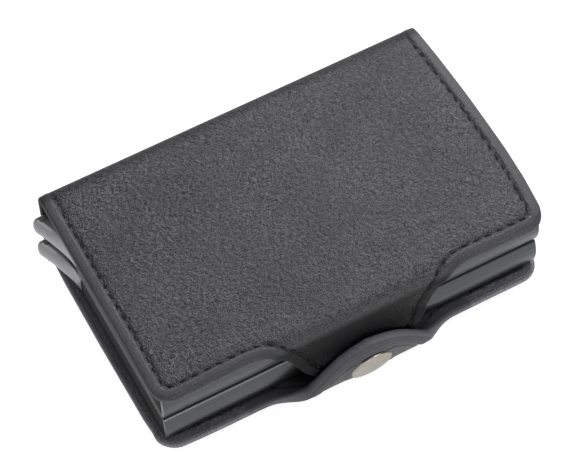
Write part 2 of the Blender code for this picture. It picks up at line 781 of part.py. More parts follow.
def case_section():
    """The case's bowed outer outline and its straight bore."""
    half_height = CASE_HEIGHT / 2
    straight = half_height - CASE_EDGE_RADIUS
    bow = (straight**2 + CASE_SIDE_BULGE**2) / (2 * CASE_SIDE_BULGE)
    angle = math.degrees(math.asin(straight / bow))
    corner = CASE_HALF_WIDTH - CASE_EDGE_RADIUS
    bow_centre = CASE_HALF_WIDTH + CASE_SIDE_BULGE - bow
    right = arc((CASE_Y + corner, straight), CASE_EDGE_RADIUS, 90, 0, 4)
    right += arc((CASE_Y + bow_centre, 0), bow, angle, -angle, 8)[1:-1]
    right += arc((CASE_Y + corner, -straight), CASE_EDGE_RADIUS, 0, -90, 4)
    left = [(2 * CASE_Y - across, up) for across, up in reversed(right)]
    bore = rounded_box(
        (BORE_FRONT_Y, -BORE_HALF_HEIGHT),
        (BORE_BACK_Y, BORE_HALF_HEIGHT),
        [CASE_BORE_RADIUS] * 4,
    )
    return [right + left, bore]


def case_shell_mesh():
    """The tube, with its spine-side wall cut away where the lever's nose swings in."""
    tube = add_cutter(
        "case_tube",
        extruded_mesh("case_tube", case_section(), CASE_END_X, CASE_MOUTH_X, "side"),
    )
    reach = LEVER_BACK_Y - PIVOT_Y
    rise = BORE_BACK_Y - RUNNING_GAP - PIVOT_Y
    sweep = math.sqrt(reach**2 + NOSE_REACH**2 - rise**2)
    notch_low = (CASE_END_X - CUT_OVERRUN, BORE_BACK_Y - CUT_OVERRUN)
    notch_high = (PIVOT_X + sweep + RUNNING_GAP, SPINE_INNER_Y)
    notch = extruded_mesh(
        "lever_notch",
        [rounded_box(notch_low, notch_high, [CASE_BORE_RADIUS] * 4)],
        -BORE_HALF_HEIGHT,
        BORE_HALF_HEIGHT,
        "plan",
    )
    return finished_mesh(boolean(tube, add_cutter("lever_notch", notch), "DIFFERENCE"))


def plug_mesh():
    """A channel: the end wall, and a cheek above and below the lever's eye."""
    cheek_x = CASE_END_X + CHEEK_REACH
    cheek_y = PLUG_FRONT_Y + CHEEK_LENGTH
    corner = (cheek_x - CHEEK_CORNER_RADIUS, cheek_y - CHEEK_CORNER_RADIUS)
    outline = [(CASE_END_X, PLUG_FRONT_Y), (cheek_x, PLUG_FRONT_Y)]
    outline += arc(corner, CHEEK_CORNER_RADIUS, 0, 90)
    outline += [(PLUG_FACE_X, cheek_y), (PLUG_FACE_X, PLUG_BACK_Y), (CASE_END_X, PLUG_BACK_Y)]
    block = add_cutter(
        "plug_block",
        extruded_mesh("plug_block", [outline], -PLUG_HALF_HEIGHT, PLUG_HALF_HEIGHT, "plan"),
    )
    slot_low = (PLUG_FACE_X, PLUG_FRONT_Y - CUT_OVERRUN)
    slot_high = (cheek_x + CUT_OVERRUN, PLUG_BACK_Y + CUT_OVERRUN)
    slot = rounded_box(slot_low, slot_high, [CASE_BORE_RADIUS] * 4)
    slot_mesh = extruded_mesh("eye_slot", [slot], -CHEEK_INNER, CHEEK_INNER, "plan")
    boolean(block, add_cutter("eye_slot", slot_mesh), "DIFFERENCE")
    top = PLUG_HALF_HEIGHT + CUT_OVERRUN
    bore = extruded_mesh(
        "pin_bore", [circle((PIVOT_X, PIVOT_Y), PIN_BORE_RADIUS)], -top, top, "plan"
    )
    return finished_mesh(boolean(block, add_cutter("pin_bore", bore), "DIFFERENCE"))


def lever_outline():
    """The lever from above, about its pin: eye, arm, wedge, round nose and back edge."""
    back = LEVER_BACK_Y - PIVOT_Y
    step = PLUG_BACK_Y + RUNNING_GAP - PIVOT_Y
    flush = CASE_END_X - WEDGE_STEP - PIVOT_X
    nose = (CASE_END_X - NOSE_REACH + NOSE_RADIUS - PIVOT_X, back - NOSE_RADIUS)
    start = (flush, step + WEDGE_STEP)
    away = math.hypot(nose[0] - start[0], nose[1] - start[1])
    lean = math.atan2(start[0] - nose[0], nose[1] - start[1])
    lean += math.asin(NOSE_RADIUS / away)
    inner = ARM_THICKNESS - EYE_RADIUS
    corner = (inner - ARM_CORNER_RADIUS, back - ARM_CORNER_RADIUS)
    meet = math.degrees(math.acos(inner / EYE_RADIUS))
    points = arc((0, 0), EYE_RADIUS, meet, -180, 3 * ARC_STEPS)
    points += [(-EYE_RADIUS, step), (flush, step), start]
    points += arc(nose, NOSE_RADIUS, 180 + math.degrees(lean), 90, 2 * ARC_STEPS)
    points += arc(corner, ARM_CORNER_RADIUS, 90, 0)
    return points, back, inner, flush


def lever_mesh():
    """The moulded lever: its thumb nose, its arm and the stair that fans the cards out."""
    outline, back, inner, flush = lever_outline()
    body_mesh = extruded_mesh(
        "lever_body", [outline], -PLUG_HALF_HEIGHT, PLUG_HALF_HEIGHT, "plan"
    )
    round_nose(body_mesh, flush)
    body = add_cutter("lever_body", body_mesh)
    low = back - STEP_BLOCK_LENGTH
    boolean(body, step_block(low, back, inner), "UNION")
    shoulder = EYE_RADIUS + EYE_SHOULDER
    wide = shoulder + CUT_OVERRUN
    relief = rounded_box((-wide, -wide), (wide, shoulder), [CASE_BORE_RADIUS] * 4)
    top = PLUG_HALF_HEIGHT + CUT_OVERRUN
    for name, start, end in (
        ("eye_relief_top", EYE_HALF_HEIGHT, top),
        ("eye_relief_bottom", -top, -EYE_HALF_HEIGHT),
    ):
        cutter = add_cutter(name, extruded_mesh(name, [relief], start, end, "plan"))
        boolean(body, cutter, "DIFFERENCE")
    bore = extruded_mesh("eye_bore", [circle((0, 0), PIN_BORE_RADIUS)], -top, top, "plan")
    return finished_mesh(boolean(body, add_cutter("eye_bore", bore), "DIFFERENCE"))


def round_nose(mesh, flush):
    """Rounds the upper and lower edges of the part that the thumb pushes."""
    edit = bmesh.new()
    edit.from_mesh(mesh)
    edges = [
        edge
        for edge in edit.edges
        if edge.is_manifold
        and edge.verts[0].co.z == edge.verts[1].co.z
        and max(vertex.co.x for vertex in edge.verts) < flush + WEDGE_STEP / 2
        and len({round(face.normal.z) for face in edge.link_faces}) > 1
    ]
    bmesh.ops.bevel(
        edit, geom=edges, offset=NOSE_ROUNDING, segments=4, profile=0.5, affect="EDGES"
    )
    edit.to_mesh(mesh)
    edit.free()


def step_block(low, high, inner):
    """Five steps, one a card thick each, the lowest standing out furthest."""
    height = min(CARDS * CARD_PITCH, 2 * PLUG_HALF_HEIGHT)
    pitch = height / CARDS
    start = inner - ARM_THICKNESS / 2
    stair = [(start, height / 2)]
    for i in range(CARDS):
        reach = inner + STEP_RISE * (i + 1)
        stair += [(reach, height / 2 - i * pitch), (reach, height / 2 - (i + 1) * pitch)]
    stair.append((start, -height / 2))
    block = add_cutter("step_stair", extruded_mesh("step_stair", [stair], low, high, "front"))
    reach = inner + STEP_RISE * CARDS
    radii = (ARM_CORNER_RADIUS, STEP_CORNER_RADIUS, STEP_CORNER_RADIUS, ARM_CORNER_RADIUS)
    trim_low = (start - CUT_OVERRUN, low + WEDGE_STEP)
    plan = rounded_box(trim_low, (reach, high - WEDGE_STEP), radii)
    deep = height / 2 + CUT_OVERRUN
    trim = add_cutter("step_trim", extruded_mesh("step_trim", [plan], -deep, deep, "plan"))
    return boolean(block, trim, "INTERSECT")


def strip_mesh():
    half = (STRIP_LENGTH / 2, STRIP_WIDTH / 2)
    outline = rounded_box((-half[0], -half[1]), half, [STRIP_CORNER_RADIUS] * 4)
    return extruded_mesh("friction_strip", [outline], -STRIP_THICKNESS, 0, "plan")


def pad_mesh():
    low = (CASE_END_X + PAD_MARGIN, BORE_FRONT_Y + PAD_MARGIN)
    high = (CASE_MOUTH_X - PAD_MARGIN, BORE_BACK_Y - PAD_MARGIN)
    outline = rounded_box(low, high, [PAD_CORNER_RADIUS] * 4)
    return extruded_mesh("glue_pad", [outline], -PAD_THICKNESS / 2, PAD_THICKNESS / 2, "plan")


def place(name, mesh, finish, where, parent):
    obj = add_object(name, mesh, PARTS, MATERIALS[finish])
    obj.location = where
    bpy.context.view_layer.update()
    if parent:
        obj.parent = parent
        obj.matrix_parent_inverse = parent.matrix_world.inverted()
    return obj


def card_cases(cover_pivot):
    """Both cases: shell, end plug, lever, pin, two friction strips and the glue pad."""
    shell = case_shell_mesh()
    plug = plug_mesh()
    lever = lever_mesh()
    pin_outline = circle((0, 0), PIN_RADIUS)
    pin = extruded_mesh("pivot_pin", [pin_outline], -PLUG_HALF_HEIGHT, PLUG_HALF_HEIGHT, "plan")
    strip = strip_mesh()
    pad = pad_mesh()
    pad_step = CASE_HEIGHT / 2 + CASE_SEAT / 2
    strip_x = CASE_MOUTH_X - STRIP_MOUTH_INSET - STRIP_LENGTH / 2
    for level, height, parent, pad_side in (
        ("lower", LOWER_CASE_Z, None, -1),
        ("upper", UPPER_CASE_Z, cover_pivot, 1),
    ):
        place(f"{level}_case_shell", shell, "aluminium", (0, 0, height), parent)
        place(f"{level}_end_plug", plug, "black_plastic", (0, 0, height), parent)
        pivot = (PIVOT_X, PIVOT_Y, height)
        place(f"{level}_pivot_pin", pin, "steel", pivot, parent)
        place(f"{level}_lever", lever, "grey_plastic", pivot, parent)
        pad_place = (0, 0, height + pad_side * pad_step)
        place(f"{level}_glue_pad", pad, "glue_pad", pad_place, parent)
        strip_z = height + BORE_HALF_HEIGHT - SEAT_GAP
        for side, across in (("front", -STRIP_SPACING / 2), ("rear", STRIP_SPACING / 2)):
            strip_place = (strip_x, CASE_Y + across, strip_z)
            place(f"{level}_friction_strip_{side}", strip, "felt", strip_place, parent)


clear_scene()
PARTS = new_collection("pop_up_card_holder")
CUTTERS = new_collection("cutters")
MATERIALS = {name: make_material(name) for name in FINISHES}
spine_pivot = add_pivot("spine_fold_axis", (0, FOLD_Y, LOWER_FOLD_Z))
cover_pivot = add_pivot("upper_cover_fold_axis", (0, FOLD_Y, UPPER_FOLD_Z))
tab_pivot = add_pivot("closure_tab_fold_axis", (0, TAB_FOLD_Y, TAB_FOLD_Z))
lower_cover()
spine(spine_pivot)
upper_cover(cover_pivot)
snap_back = closure_tab(tab_pivot)
snap(tab_pivot, cover_pivot, snap_back)
card_cases(cover_pivot)
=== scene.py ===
import math

import bmesh
import bpy
import numpy as np
from mathutils import Matrix, Vector
from mathutils.geometry import delaunay_2d_cdt
from mathutils.kdtree import KDTree


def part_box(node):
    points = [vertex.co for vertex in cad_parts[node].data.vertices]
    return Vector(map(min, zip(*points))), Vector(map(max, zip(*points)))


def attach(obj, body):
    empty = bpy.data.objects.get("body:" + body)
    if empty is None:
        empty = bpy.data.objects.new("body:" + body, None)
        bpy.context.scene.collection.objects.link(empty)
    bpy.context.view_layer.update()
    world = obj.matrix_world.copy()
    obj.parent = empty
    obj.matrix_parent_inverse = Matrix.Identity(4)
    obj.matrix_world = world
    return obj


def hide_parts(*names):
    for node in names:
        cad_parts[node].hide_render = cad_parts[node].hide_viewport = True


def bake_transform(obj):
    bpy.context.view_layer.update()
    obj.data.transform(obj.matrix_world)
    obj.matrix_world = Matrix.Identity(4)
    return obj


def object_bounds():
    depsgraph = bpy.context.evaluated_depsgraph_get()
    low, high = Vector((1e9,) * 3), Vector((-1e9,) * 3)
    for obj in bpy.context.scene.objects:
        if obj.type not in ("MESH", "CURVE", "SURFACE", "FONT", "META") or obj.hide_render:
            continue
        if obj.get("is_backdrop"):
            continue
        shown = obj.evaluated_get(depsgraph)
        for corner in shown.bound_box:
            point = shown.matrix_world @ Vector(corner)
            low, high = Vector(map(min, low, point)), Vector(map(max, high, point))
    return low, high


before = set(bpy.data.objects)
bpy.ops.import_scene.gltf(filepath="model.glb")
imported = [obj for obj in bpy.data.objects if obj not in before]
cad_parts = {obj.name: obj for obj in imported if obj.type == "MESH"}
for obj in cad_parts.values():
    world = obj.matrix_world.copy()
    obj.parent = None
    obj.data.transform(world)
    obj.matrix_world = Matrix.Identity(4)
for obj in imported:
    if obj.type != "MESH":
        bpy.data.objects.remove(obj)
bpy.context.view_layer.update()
MM = 0.001

# Camera, lamps and floor
# The holder is seen from above its lever end, over the front edge, through a long lens.
# The floor and the sky are plain white to the camera, and soft lamps stand all round.
CAMERA_TURN = math.radians(-26.849)
CAMERA_RISE = math.radians(59.397)
CAMERA_ROLL = math.radians(-1.824)
CAMERA_DISTANCE = 0.582
FOCAL_PIXELS = 2488.35
PHOTO_WIDTH = 567
CENTRE_PIXELS = (8.7, 24.9)
SENSOR_MM = 36.0
FLOOR_HALF = 3.0
# The snap's cap reaches this far below the rest face when the tab is folded right down
FLOOR_HEIGHT = -4.8 * MM


def place_object(name, data):
    """Puts a new object with this data into the scene."""
    made = bpy.data.objects.new(name, data)
    bpy.context.scene.collection.objects.link(made)
    return made


def place_edit(name, edit):
    """Puts a finished bmesh into the scene as an object."""
    mesh = bpy.data.meshes.new(name)
    edit.to_mesh(mesh)
    edit.free()
    return place_object(name, mesh)


def add_camera():
    """Sets the camera as far away and as tilted as the photograph's."""
    flat = math.cos(CAMERA_RISE)
    away = Vector(
        (math.sin(CAMERA_TURN) * flat, -math.cos(CAMERA_TURN) * flat, math.sin(CAMERA_RISE))
    )
    level = Vector((math.cos(CAMERA_TURN), math.sin(CAMERA_TURN), 0))
    upright = away.cross(level)
    right = level * math.cos(CAMERA_ROLL) + upright * math.sin(CAMERA_ROLL)
    up = upright * math.cos(CAMERA_ROLL) - level * math.sin(CAMERA_ROLL)
    data = bpy.data.cameras.new("camera")
    data.sensor_width = SENSOR_MM
    data.lens = FOCAL_PIXELS / PHOTO_WIDTH * SENSOR_MM
    data.shift_x = -CENTRE_PIXELS[0] / PHOTO_WIDTH
    data.shift_y = CENTRE_PIXELS[1] / PHOTO_WIDTH
    data.clip_start = 0.01
    camera = place_object("camera", data)
    camera.matrix_world = Matrix((right, up, away)).transposed().to_4x4()
    camera.location = away * CAMERA_DISTANCE
    bpy.context.scene.camera = camera


def add_lamp(name, place, size, watts):
    """Adds a round soft lamp that faces the holder."""
    data = bpy.data.lights.new(name, "AREA")
    data.shape = "DISK"
    data.size = size
    data.energy = watts
    lamp = place_object(name, data)
    lamp.location = place
    lamp.rotation_euler = Vector(place).to_track_quat("Z", "Y").to_euler()


def linear(code):
    """A hex colour as it looks on screen, turned to the linear values that a shader takes."""
    found = []
    for i in (1, 3, 5):
        value = int(code[i : i + 2], 16) / 255
        found.append(value / 12.92 if value <= 0.04045 else ((value + 0.055) / 1.055) ** 2.4)
    return (*found, 1)


def add_node(tree, kind, settings=None, *values, **inputs):
    """Adds a node, sets it, and fills or links its inputs: values in the sockets' own order,
    and the others by name, with _ for a space."""
    node = tree.nodes.new("ShaderNode" + kind)
    for key, value in (settings or {}).items():
        setattr(node, key, value)
    filled = list(zip(node.inputs, values))
    for key, value in inputs.items():
        named = (s for s in node.inputs if s.name.replace(" ", "_") == key and s.enabled)
        filled.append((next(named), value))
    for socket, value in filled:
        if isinstance(value, bpy.types.NodeSocket):
            tree.links.new(value, socket)
        else:
            socket.default_value = value
    return node


def new_material(name):
    """A material, its empty node tree, and the places on the object that patterns use."""
    material = bpy.data.materials.new(name)
    material.use_nodes = True
    tree = material.node_tree
    tree.nodes.clear()
    return material, tree, add_node(tree, "TexCoord").outputs["Object"]


def seen_by(tree, *kinds):
    """One for these kinds of ray, and nought for all others."""
    rays = add_node(tree, "LightPath").outputs
    return add_node(
        tree, "Math", {"operation": "MAXIMUM"}, *(rays[f"Is {kind} Ray"] for kind in kinds)
    ).outputs[0]


def remap(tree, value, start, end, first=0.0, last=1.0):
    """Turns one range of a value into another, and holds it at both ends."""
    return add_node(
        tree, "MapRange", Value=value, From_Min=start, From_Max=end, To_Min=first, To_Max=last
    ).outputs[0]


def studio_white_floor():
    """White paper sweep: bright white to the camera, and it keeps the soft shadow."""
    material, tree, _ = new_material("white_paper_sweep")
    paper = add_node(tree, "BsdfDiffuse", Color=linear("#969696")).outputs[0]
    white = add_node(tree, "Emission", Color=linear("#FFFFFF"), Strength=0.93).outputs[0]
    lit = add_node(tree, "AddShader", None, paper, white).outputs[0]
    mix = add_node(tree, "MixShader", None, seen_by(tree, "Camera", "Glossy"), paper, lit)
    add_node(tree, "OutputMaterial", Surface=mix.outputs[0])
    return material


def add_floor():
    """Lays the white paper under the holder."""
    edit = bmesh.new()
    bmesh.ops.create_grid(edit, x_segments=1, y_segments=1, size=FLOOR_HALF)
    floor = place_edit("floor", edit)
    floor.data.materials.append(studio_white_floor())
    floor.location.z = FLOOR_HEIGHT
    floor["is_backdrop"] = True


def add_sky():
    """A soft white tent, brightest above and behind the holder, and white to the camera."""
    world = bpy.data.worlds.new("studio")
    bpy.context.scene.world = world
    world.use_nodes = True
    tree = world.node_tree
    tree.nodes.clear()
    towards = add_node(tree, "TexCoord").outputs["Generated"]
    brightest = (0.22, 0.42, 0.88)
    above = add_node(tree, "VectorMath", {"operation": "DOT_PRODUCT"}, towards, brightest)
    tent = remap(tree, above.outputs["Value"], 0.15, 1.0, 0.03, 0.36)
    seen = seen_by(tree, "Camera", "Transmission")
    strength = add_node(tree, "Mix", Factor=seen, A=tent, B=1.0).outputs[0]
    sky = add_node(tree, "Background", Color=(1, 1, 1, 1), Strength=strength)
    add_node(tree, "OutputWorld", Surface=sky.outputs[0])


bpy.context.scene.view_settings.view_transform = "Standard"
add_camera()
add_lamp("overhead_softbox", (0.22, -0.03, 0.36), 0.25, 0.72)
add_lamp("back_softbox", (0.22, 0.26, 0.3), 0.2, 1.75)
add_lamp("front_softbox", (-0.05, -0.7, 0.12), 0.4, 2.4)
add_lamp("lever_side_softbox", (-0.62, 0.0, 0.22), 0.4, 0.8)
add_floor()
add_sky()

# Cover leather
# One blank of split leather, cut flat, coated with polyurethane and pressed with a fine
# grain. It wraps the lower cover, spine and upper cover, with a tongue at one end and the
# padded tab at the other. The rim is turned and painted, so its edge is round and solid.
UPPER_LOW, UPPER_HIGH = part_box("upper_cover_leather")
SPINE_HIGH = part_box("spine_leather")[1]
TAB_LOW, TAB_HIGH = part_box("closure_tab_leather")
COVER_END = UPPER_HIGH.x
HOLDER_HEIGHT = UPPER_HIGH.z
COVER_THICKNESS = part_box("lower_cover_leather")[1].z
MID_HEIGHT = HOLDER_HEIGHT / 2
PANEL_RISE = MID_HEIGHT - COVER_THICKNESS / 2
SPINE_THICKNESS = 1.2 * MM
SPINE_Y = SPINE_HIGH.y - SPINE_THICKNESS / 2
SPINE_BEND = 1.7 * MM
CORNER_RADIUS = 5.1 * MM
CLOSURE_X = (TAB_LOW.x + TAB_HIGH.x) / 2
UPPER_FRONT = -31.0 * MM
LOWER_FRONT = -31.1 * MM
TONGUE_MIDDLE_Y = UPPER_LOW.y + COVER_THICKNESS / 2
EDGE_ROUNDING = 0.85 * MM
STITCH_INSET = 3.2 * MM
CREASE_INSET = 3.0 * MM
RIM_WIDTH = 2.4 * MM
POCKET_WALL = 0.15 * MM
POCKET_DEPTH = 1.6 * MM
POCKET_FRONT = -26.4 * MM
POCKET_SETBACK = 1.6 * MM
TAB_EXTRA = 0.35 * MM
CAP_HEIGHT = 6.4 * MM
CAP_RADIUS = 5.3 * MM
CAP_BED_RADIUS = 7.6 * MM
CAP_BED_SLOPE = 2.6 * MM
CAP_BED_HEIGHTS = (0.22 * MM, 0.72 * MM)
# Height, inset and width of each line that runs along the rim
RIM_RIDGE = (0.08 * MM, 2.0 * MM, 0.6 * MM)
EDGE_LINE = (-0.07 * MM, 1.1 * MM, 0.2 * MM)
SEWN_CHANNEL = (-0.34 * MM, STITCH_INSET, 0.5 * MM)
TAB_CREASE = (-0.42 * MM, CREASE_INSET, 0.26 * MM)
TAB_SUNK = 0.2 * MM
PANEL_PAD = 0.14 * MM
# The upper panel's arch at its lever end and its mouth end, and its drooping front corner
CROWN_HEIGHTS = (0.3 * MM, 1.3 * MM)
CORNER_DROOP = 0.5 * MM
DROOP_X, DROOP_WIDE = 16 * MM, 40 * MM
DROOP_Y, DROOP_DEEP = -26 * MM, 5 * MM
# How far each tongue runs past the start of its bend, at each half width
TONGUE_BLANK = (
    (26.6, 3.35), (24.0, 3.7), (21.7, 4.97), (19.8, 6.93), (18.3, 9.06), (16.9, 12.27),
    (14.7, 16.87), (11.7, 20.67), (7.0, 22.97), (0.0, 23.47),
)
TAB_BLANK = (
    (26.6, 1.7), (22.9, 1.95), (20.1, 2.85), (17.7, 4.4), (16.1, 6.2), (14.1, 8.9),
    (10.6, 12.2), (6.2, 14.9), (0.0, 16.4),
)
# The turn of each tongue in degrees at distances past the start of its bend
TONGUE_TURN = ((0, 0), (1.0, 8), (4.6, 78), (6.0, 90), (32, 90))
TAB_TURN = ((0, 0), (7.4, 85), (11.5, 93), (18, 103))
TONGUE_WIDTHS = (27.0, 19.5)
TAB_WIDTHS = (25.0, 15.5)
TONGUE_REACH = 24 * MM
TAB_REACH = 17 * MM
TONGUE_THINNED = 0.95 * MM
THINNED_SPAN = (0.5 * MM, 15.4 * MM)
# Where the tongue's painted shade and matt coat begin past its bend, and their share at the
# spine's folds
TONGUE_SHADE_AND_MATT_START = 2.9 * MM
FOLD_SHADE_AND_MATT = 0.55
# How far onto the lower panel the rim's painted light fades in from the spine
RIM_LIGHT_FADE = 8 * MM
ROW = 1.25 * MM
OUTLINE_STEP = 0.9 * MM
PATH_ROWS = 41
# The front edge's bow fades out this near the closure
BOW_CLEAR = 22 * MM
BOW_FADE = 6 * MM
# Millimetres that the hand-cut edges stand off a straight line, at shares of their length
UPPER_RIGHT_BOW = ((0, 0.2), (0.15, 0.55), (0.4, 0.9), (0.72, 1.05), (0.88, 0.8), (1, 0.25))
UPPER_LEFT_BOW = ((0, 0), (0.5, -0.1), (1, 0.1))
LOWER_RIGHT_BOW = ((0, 0.1), (0.15, 0.35), (0.5, 0.45), (1, 0.45))
LOWER_LEFT_BOW = ((0, 0.1), (0.15, 0.35), (0.5, 0.45), (0.9, 0.3), (1, -0.1))
UPPER_FRONT_BOW = ((-49, 0.3), (-36, 0.05), (-26, 0), (24, 0.1), (34, 0.35), (49, 0.5))
LOWER_FRONT_BOW = ((-49, -0.5), (-40, -0.1), (-34, 0.05), (49, 0.1))


def run_length(front):
    """The blank's length from the middle of the spine to a panel's place across the holder."""
    bend = SPINE_BEND * math.pi / 2
    return PANEL_RISE - SPINE_BEND + bend + SPINE_Y - SPINE_BEND - front


SPINE_RUN = PANEL_RISE - SPINE_BEND
PANEL_RUN = SPINE_RUN + SPINE_BEND * math.pi / 2
BLANK_STEP = 0.05 * MM
BLANK_RUN = np.arange(0, 0.115, BLANK_STEP)


def read_off(value, pairs):
    """The height at a value, or at each of several, of a line drawn through pairs."""
    return np.interp(value, *zip(*pairs))


def bend_reach(turns, step=0.02):
    """How far the leather's middle goes forward while it bends."""
    turn = np.radians(read_off(np.arange(0, turns[-1][0], step), turns))
    return np.cos(turn).sum() * step * MM


TONGUE_BEND_Y = TONGUE_MIDDLE_Y + bend_reach(TONGUE_TURN)
TAB_BEND_Y = -29.4 * MM


def path_table(bend_y, turns):
    """Where the middle of the leather runs, for tongues that bend by nought to all of turns."""
    start = run_length(bend_y)
    turn = read_off((BLANK_RUN - start) / MM, turns)
    spine = np.clip((BLANK_RUN - SPINE_RUN) / (PANEL_RUN - SPINE_RUN), 0, 1) * 90
    rows = []
    for share in np.linspace(0, 1, PATH_ROWS):
        heading = np.radians(spine + share * turn)
        across = SPINE_Y - np.cumsum(np.sin(heading)) * BLANK_STEP
        rise = np.cumsum(np.cos(heading)) * BLANK_STEP
        rows.append((across, rise, heading))
    return np.array(rows)


UPPER_PATH = path_table(TONGUE_BEND_Y, TONGUE_TURN)
LOWER_PATH = path_table(TAB_BEND_Y, TAB_TURN)


def smoothstep(value):
    """Nought below nought and one above one, with a smooth rise between."""
    value = np.clip(value, 0, 1)
    return value * value * (3 - 2 * value)


def share_of_bend(x, widths):
    """One over the middle of a tongue, and nought beside it where the panel stays flat."""
    outer, inner = (width * MM for width in widths)
    return smoothstep((outer - np.abs(x - CLOSURE_X)) / (outer - inner))


def along_path(table, run, share):
    """Reads a path table between its rows and its steps."""
    row = share * (len(table) - 1)
    low = np.minimum(row.astype(int), len(table) - 2)
    part = row - low
    place = np.clip(run / BLANK_STEP, 0, len(BLANK_RUN) - 2)
    step = place.astype(int)
    rest = place - step
    found = []
    for kind in range(3):
        first = table[low, kind, step] * (1 - rest) + table[low, kind, step + 1] * rest
        second = table[low + 1, kind, step] * (1 - rest) + table[low + 1, kind, step + 1] * rest
        found.append(first * (1 - part) + second * part)
    return found


def crown(x, y):
    """The upper panel's slight arch, more at the mouth end, whose front corner droops."""
    bow = np.interp(x, (-COVER_END, COVER_END), CROWN_HEIGHTS)
    span = (SPINE_Y - UPPER_FRONT) / 2
    middle = (SPINE_Y + UPPER_FRONT) / 2
    droop = CORNER_DROOP * smoothstep((DROOP_Y - y) / DROOP_DEEP)
    droop = droop * smoothstep((x - DROOP_X) / DROOP_WIDE)
    return bow * np.clip(1 - ((y - middle) / span) ** 2, 0, 1) - droop


def bend_blank(x, run, proud):
    """Takes places on the flat blank, and heights off its middle, round the holder."""
    upper = run > 0
    length = np.abs(run)
    up = along_path(UPPER_PATH, length, share_of_bend(x, TONGUE_WIDTHS))
    down = along_path(LOWER_PATH, length, share_of_bend(x, TAB_WIDTHS))
    across, rise, heading = (np.where(upper, a, b) for a, b in zip(up, down))
    y = across + proud * np.cos(heading)
    off_middle = rise + proud * np.sin(heading)
    z = MID_HEIGHT + np.where(upper, 1, -1) * off_middle
    z += np.where(upper & (length > PANEL_RUN), crown(x, across), 0)
    return np.column_stack([x, y, z])


def curve_through(points, step):
    """A Catmull-Rom curve through given points, sampled about every step."""
    padded = [2 * Vector(points[0]) - Vector(points[1]), *map(Vector, points)]
    padded.append(2 * padded[-1] - padded[-2])
    found = []
    for i in range(len(points) - 1):
        p0, p1, p2, p3 = padded[i : i + 4]
        count = max(2, round((p2 - p1).length / step))
        for j in range(count):
            t = j / count
            a = 2 * p1 + (p2 - p0) * t + (2 * p0 - 5 * p1 + 4 * p2 - p3) * t * t
            found.append((a + (3 * p1 - p0 - 3 * p2 + p3) * t**3) / 2)
    return [*found, Vector(points[-1])]


def blank_rows(front):
    """Places along the blank's sides, close together where it folds at the spine."""
    end = run_length(front) - CORNER_RADIUS
    fold = np.arange(SPINE_RUN - 0.4 * MM, PANEL_RUN + 0.4 * MM, 0.25 * MM)
    flat = np.arange(0, end, OUTLINE_STEP)
    kept = flat[(flat < fold[0] - OUTLINE_STEP / 3) | (flat > fold[-1] + OUTLINE_STEP / 3)]
    return np.sort(np.concatenate([kept, fold]))


def stand_off(places, bows, front_bow, front):
    """Moves the blank's edge out by its hand-cut bows, less towards the tongue."""
    edge = run_length(front)
    moved = []
    for place in places:
        share = min(1, max(0, (place.y - PANEL_RUN) / (edge - CORNER_RADIUS - PANEL_RUN)))
        bow = bows[1] if place.x > 0 else bows[0]
        across = read_off(share, bow) * MM
        side = smoothstep((abs(place.x) - 0.8 * COVER_END) / (0.15 * COVER_END))
        out = read_off(place.x / MM, front_bow)
        near = smoothstep((place.y - edge + 1.2 * CORNER_RADIUS) / CORNER_RADIUS)
        aside = smoothstep((abs(place.x - CLOSURE_X) - BOW_CLEAR) / BOW_FADE)
        x = place.x + math.copysign(across * side, place.x)
        moved.append(Vector((x, place.y + out * MM * near * aside)))
    return moved


def half_outline(front, bend_y, blank):
    """One end of the blank, from +X round its tongue to -X, as (x, run) places."""
    edge = run_length(front)
    bend = run_length(bend_y)
    side = [Vector((COVER_END, run)) for run in blank_rows(front)]
    end = COVER_END - CORNER_RADIUS
    corner = []
    for angle in np.linspace(0, math.pi / 2, 11):
        x, y = CORNER_RADIUS * math.cos(angle), CORNER_RADIUS * math.sin(angle)
        corner.append(Vector((end + x, edge - CORNER_RADIUS + y)))
    root = blank[0][0] * MM
    right, left = CLOSURE_X + root, CLOSURE_X - root
    front_right = np.linspace(end, right, round((end - right) / OUTLINE_STEP) + 1)
    front_left = np.linspace(left, -end, round((end + left) / OUTLINE_STEP) + 1)
    tongue = curve_through([(wide * MM, bend + past * MM) for wide, past in blank], 0.8 * MM)
    found = [*side, *corner]
    found += [Vector((x, edge)) for x in front_right[1:-1]]
    found += [Vector((CLOSURE_X + place.x, place.y)) for place in tongue]
    found += [Vector((CLOSURE_X - place.x, place.y)) for place in reversed(tongue[:-1])]
    found += [Vector((x, edge)) for x in front_left[1:-1]]
    found += [Vector((-place.x, place.y)) for place in reversed(corner)]
    return [*found, *(Vector((-place.x, place.y)) for place in reversed(side))]


def blank_outline():
    """The whole blank's edge, tongue end first, and then the tab's end."""
    upper = half_outline(UPPER_FRONT, TONGUE_BEND_Y, TONGUE_BLANK)
    upper = stand_off(upper, (UPPER_LEFT_BOW, UPPER_RIGHT_BOW), UPPER_FRONT_BOW, UPPER_FRONT)
    lower = half_outline(LOWER_FRONT, TAB_BEND_Y, TAB_BLANK)
    lower = stand_off(lower, (LOWER_LEFT_BOW, LOWER_RIGHT_BOW), LOWER_FRONT_BOW, LOWER_FRONT)
    turned = [Vector((place.x, -place.y)) for place in reversed(lower)]
    return [*upper, *turned[1:-1]]


OUTLINE = blank_outline()
OUTLINE_COUNT = len(OUTLINE)
EDGE_TREE = KDTree(OUTLINE_COUNT)
for i, place in enumerate(OUTLINE):
    EDGE_TREE.insert((place.x, place.y, 0), i)
EDGE_TREE.balance()


def edge_distance(place):
    """How far a place on the blank is from the nearest point of its outline."""
    return EDGE_TREE.find((*place, 0))[2]


def inset_ring(inset):
    """The outline moved in by a distance, less the points that would fall too near an edge."""
    ring = []
    for i, place in enumerate(OUTLINE):
        along = OUTLINE[(i + 1) % OUTLINE_COUNT] - OUTLINE[i - 1]
        inward = Vector((-along.y, along.x)).normalized()
        moved = place + inward * inset
        if edge_distance(moved) > inset * 0.97:
            ring.append(moved)
    return ring


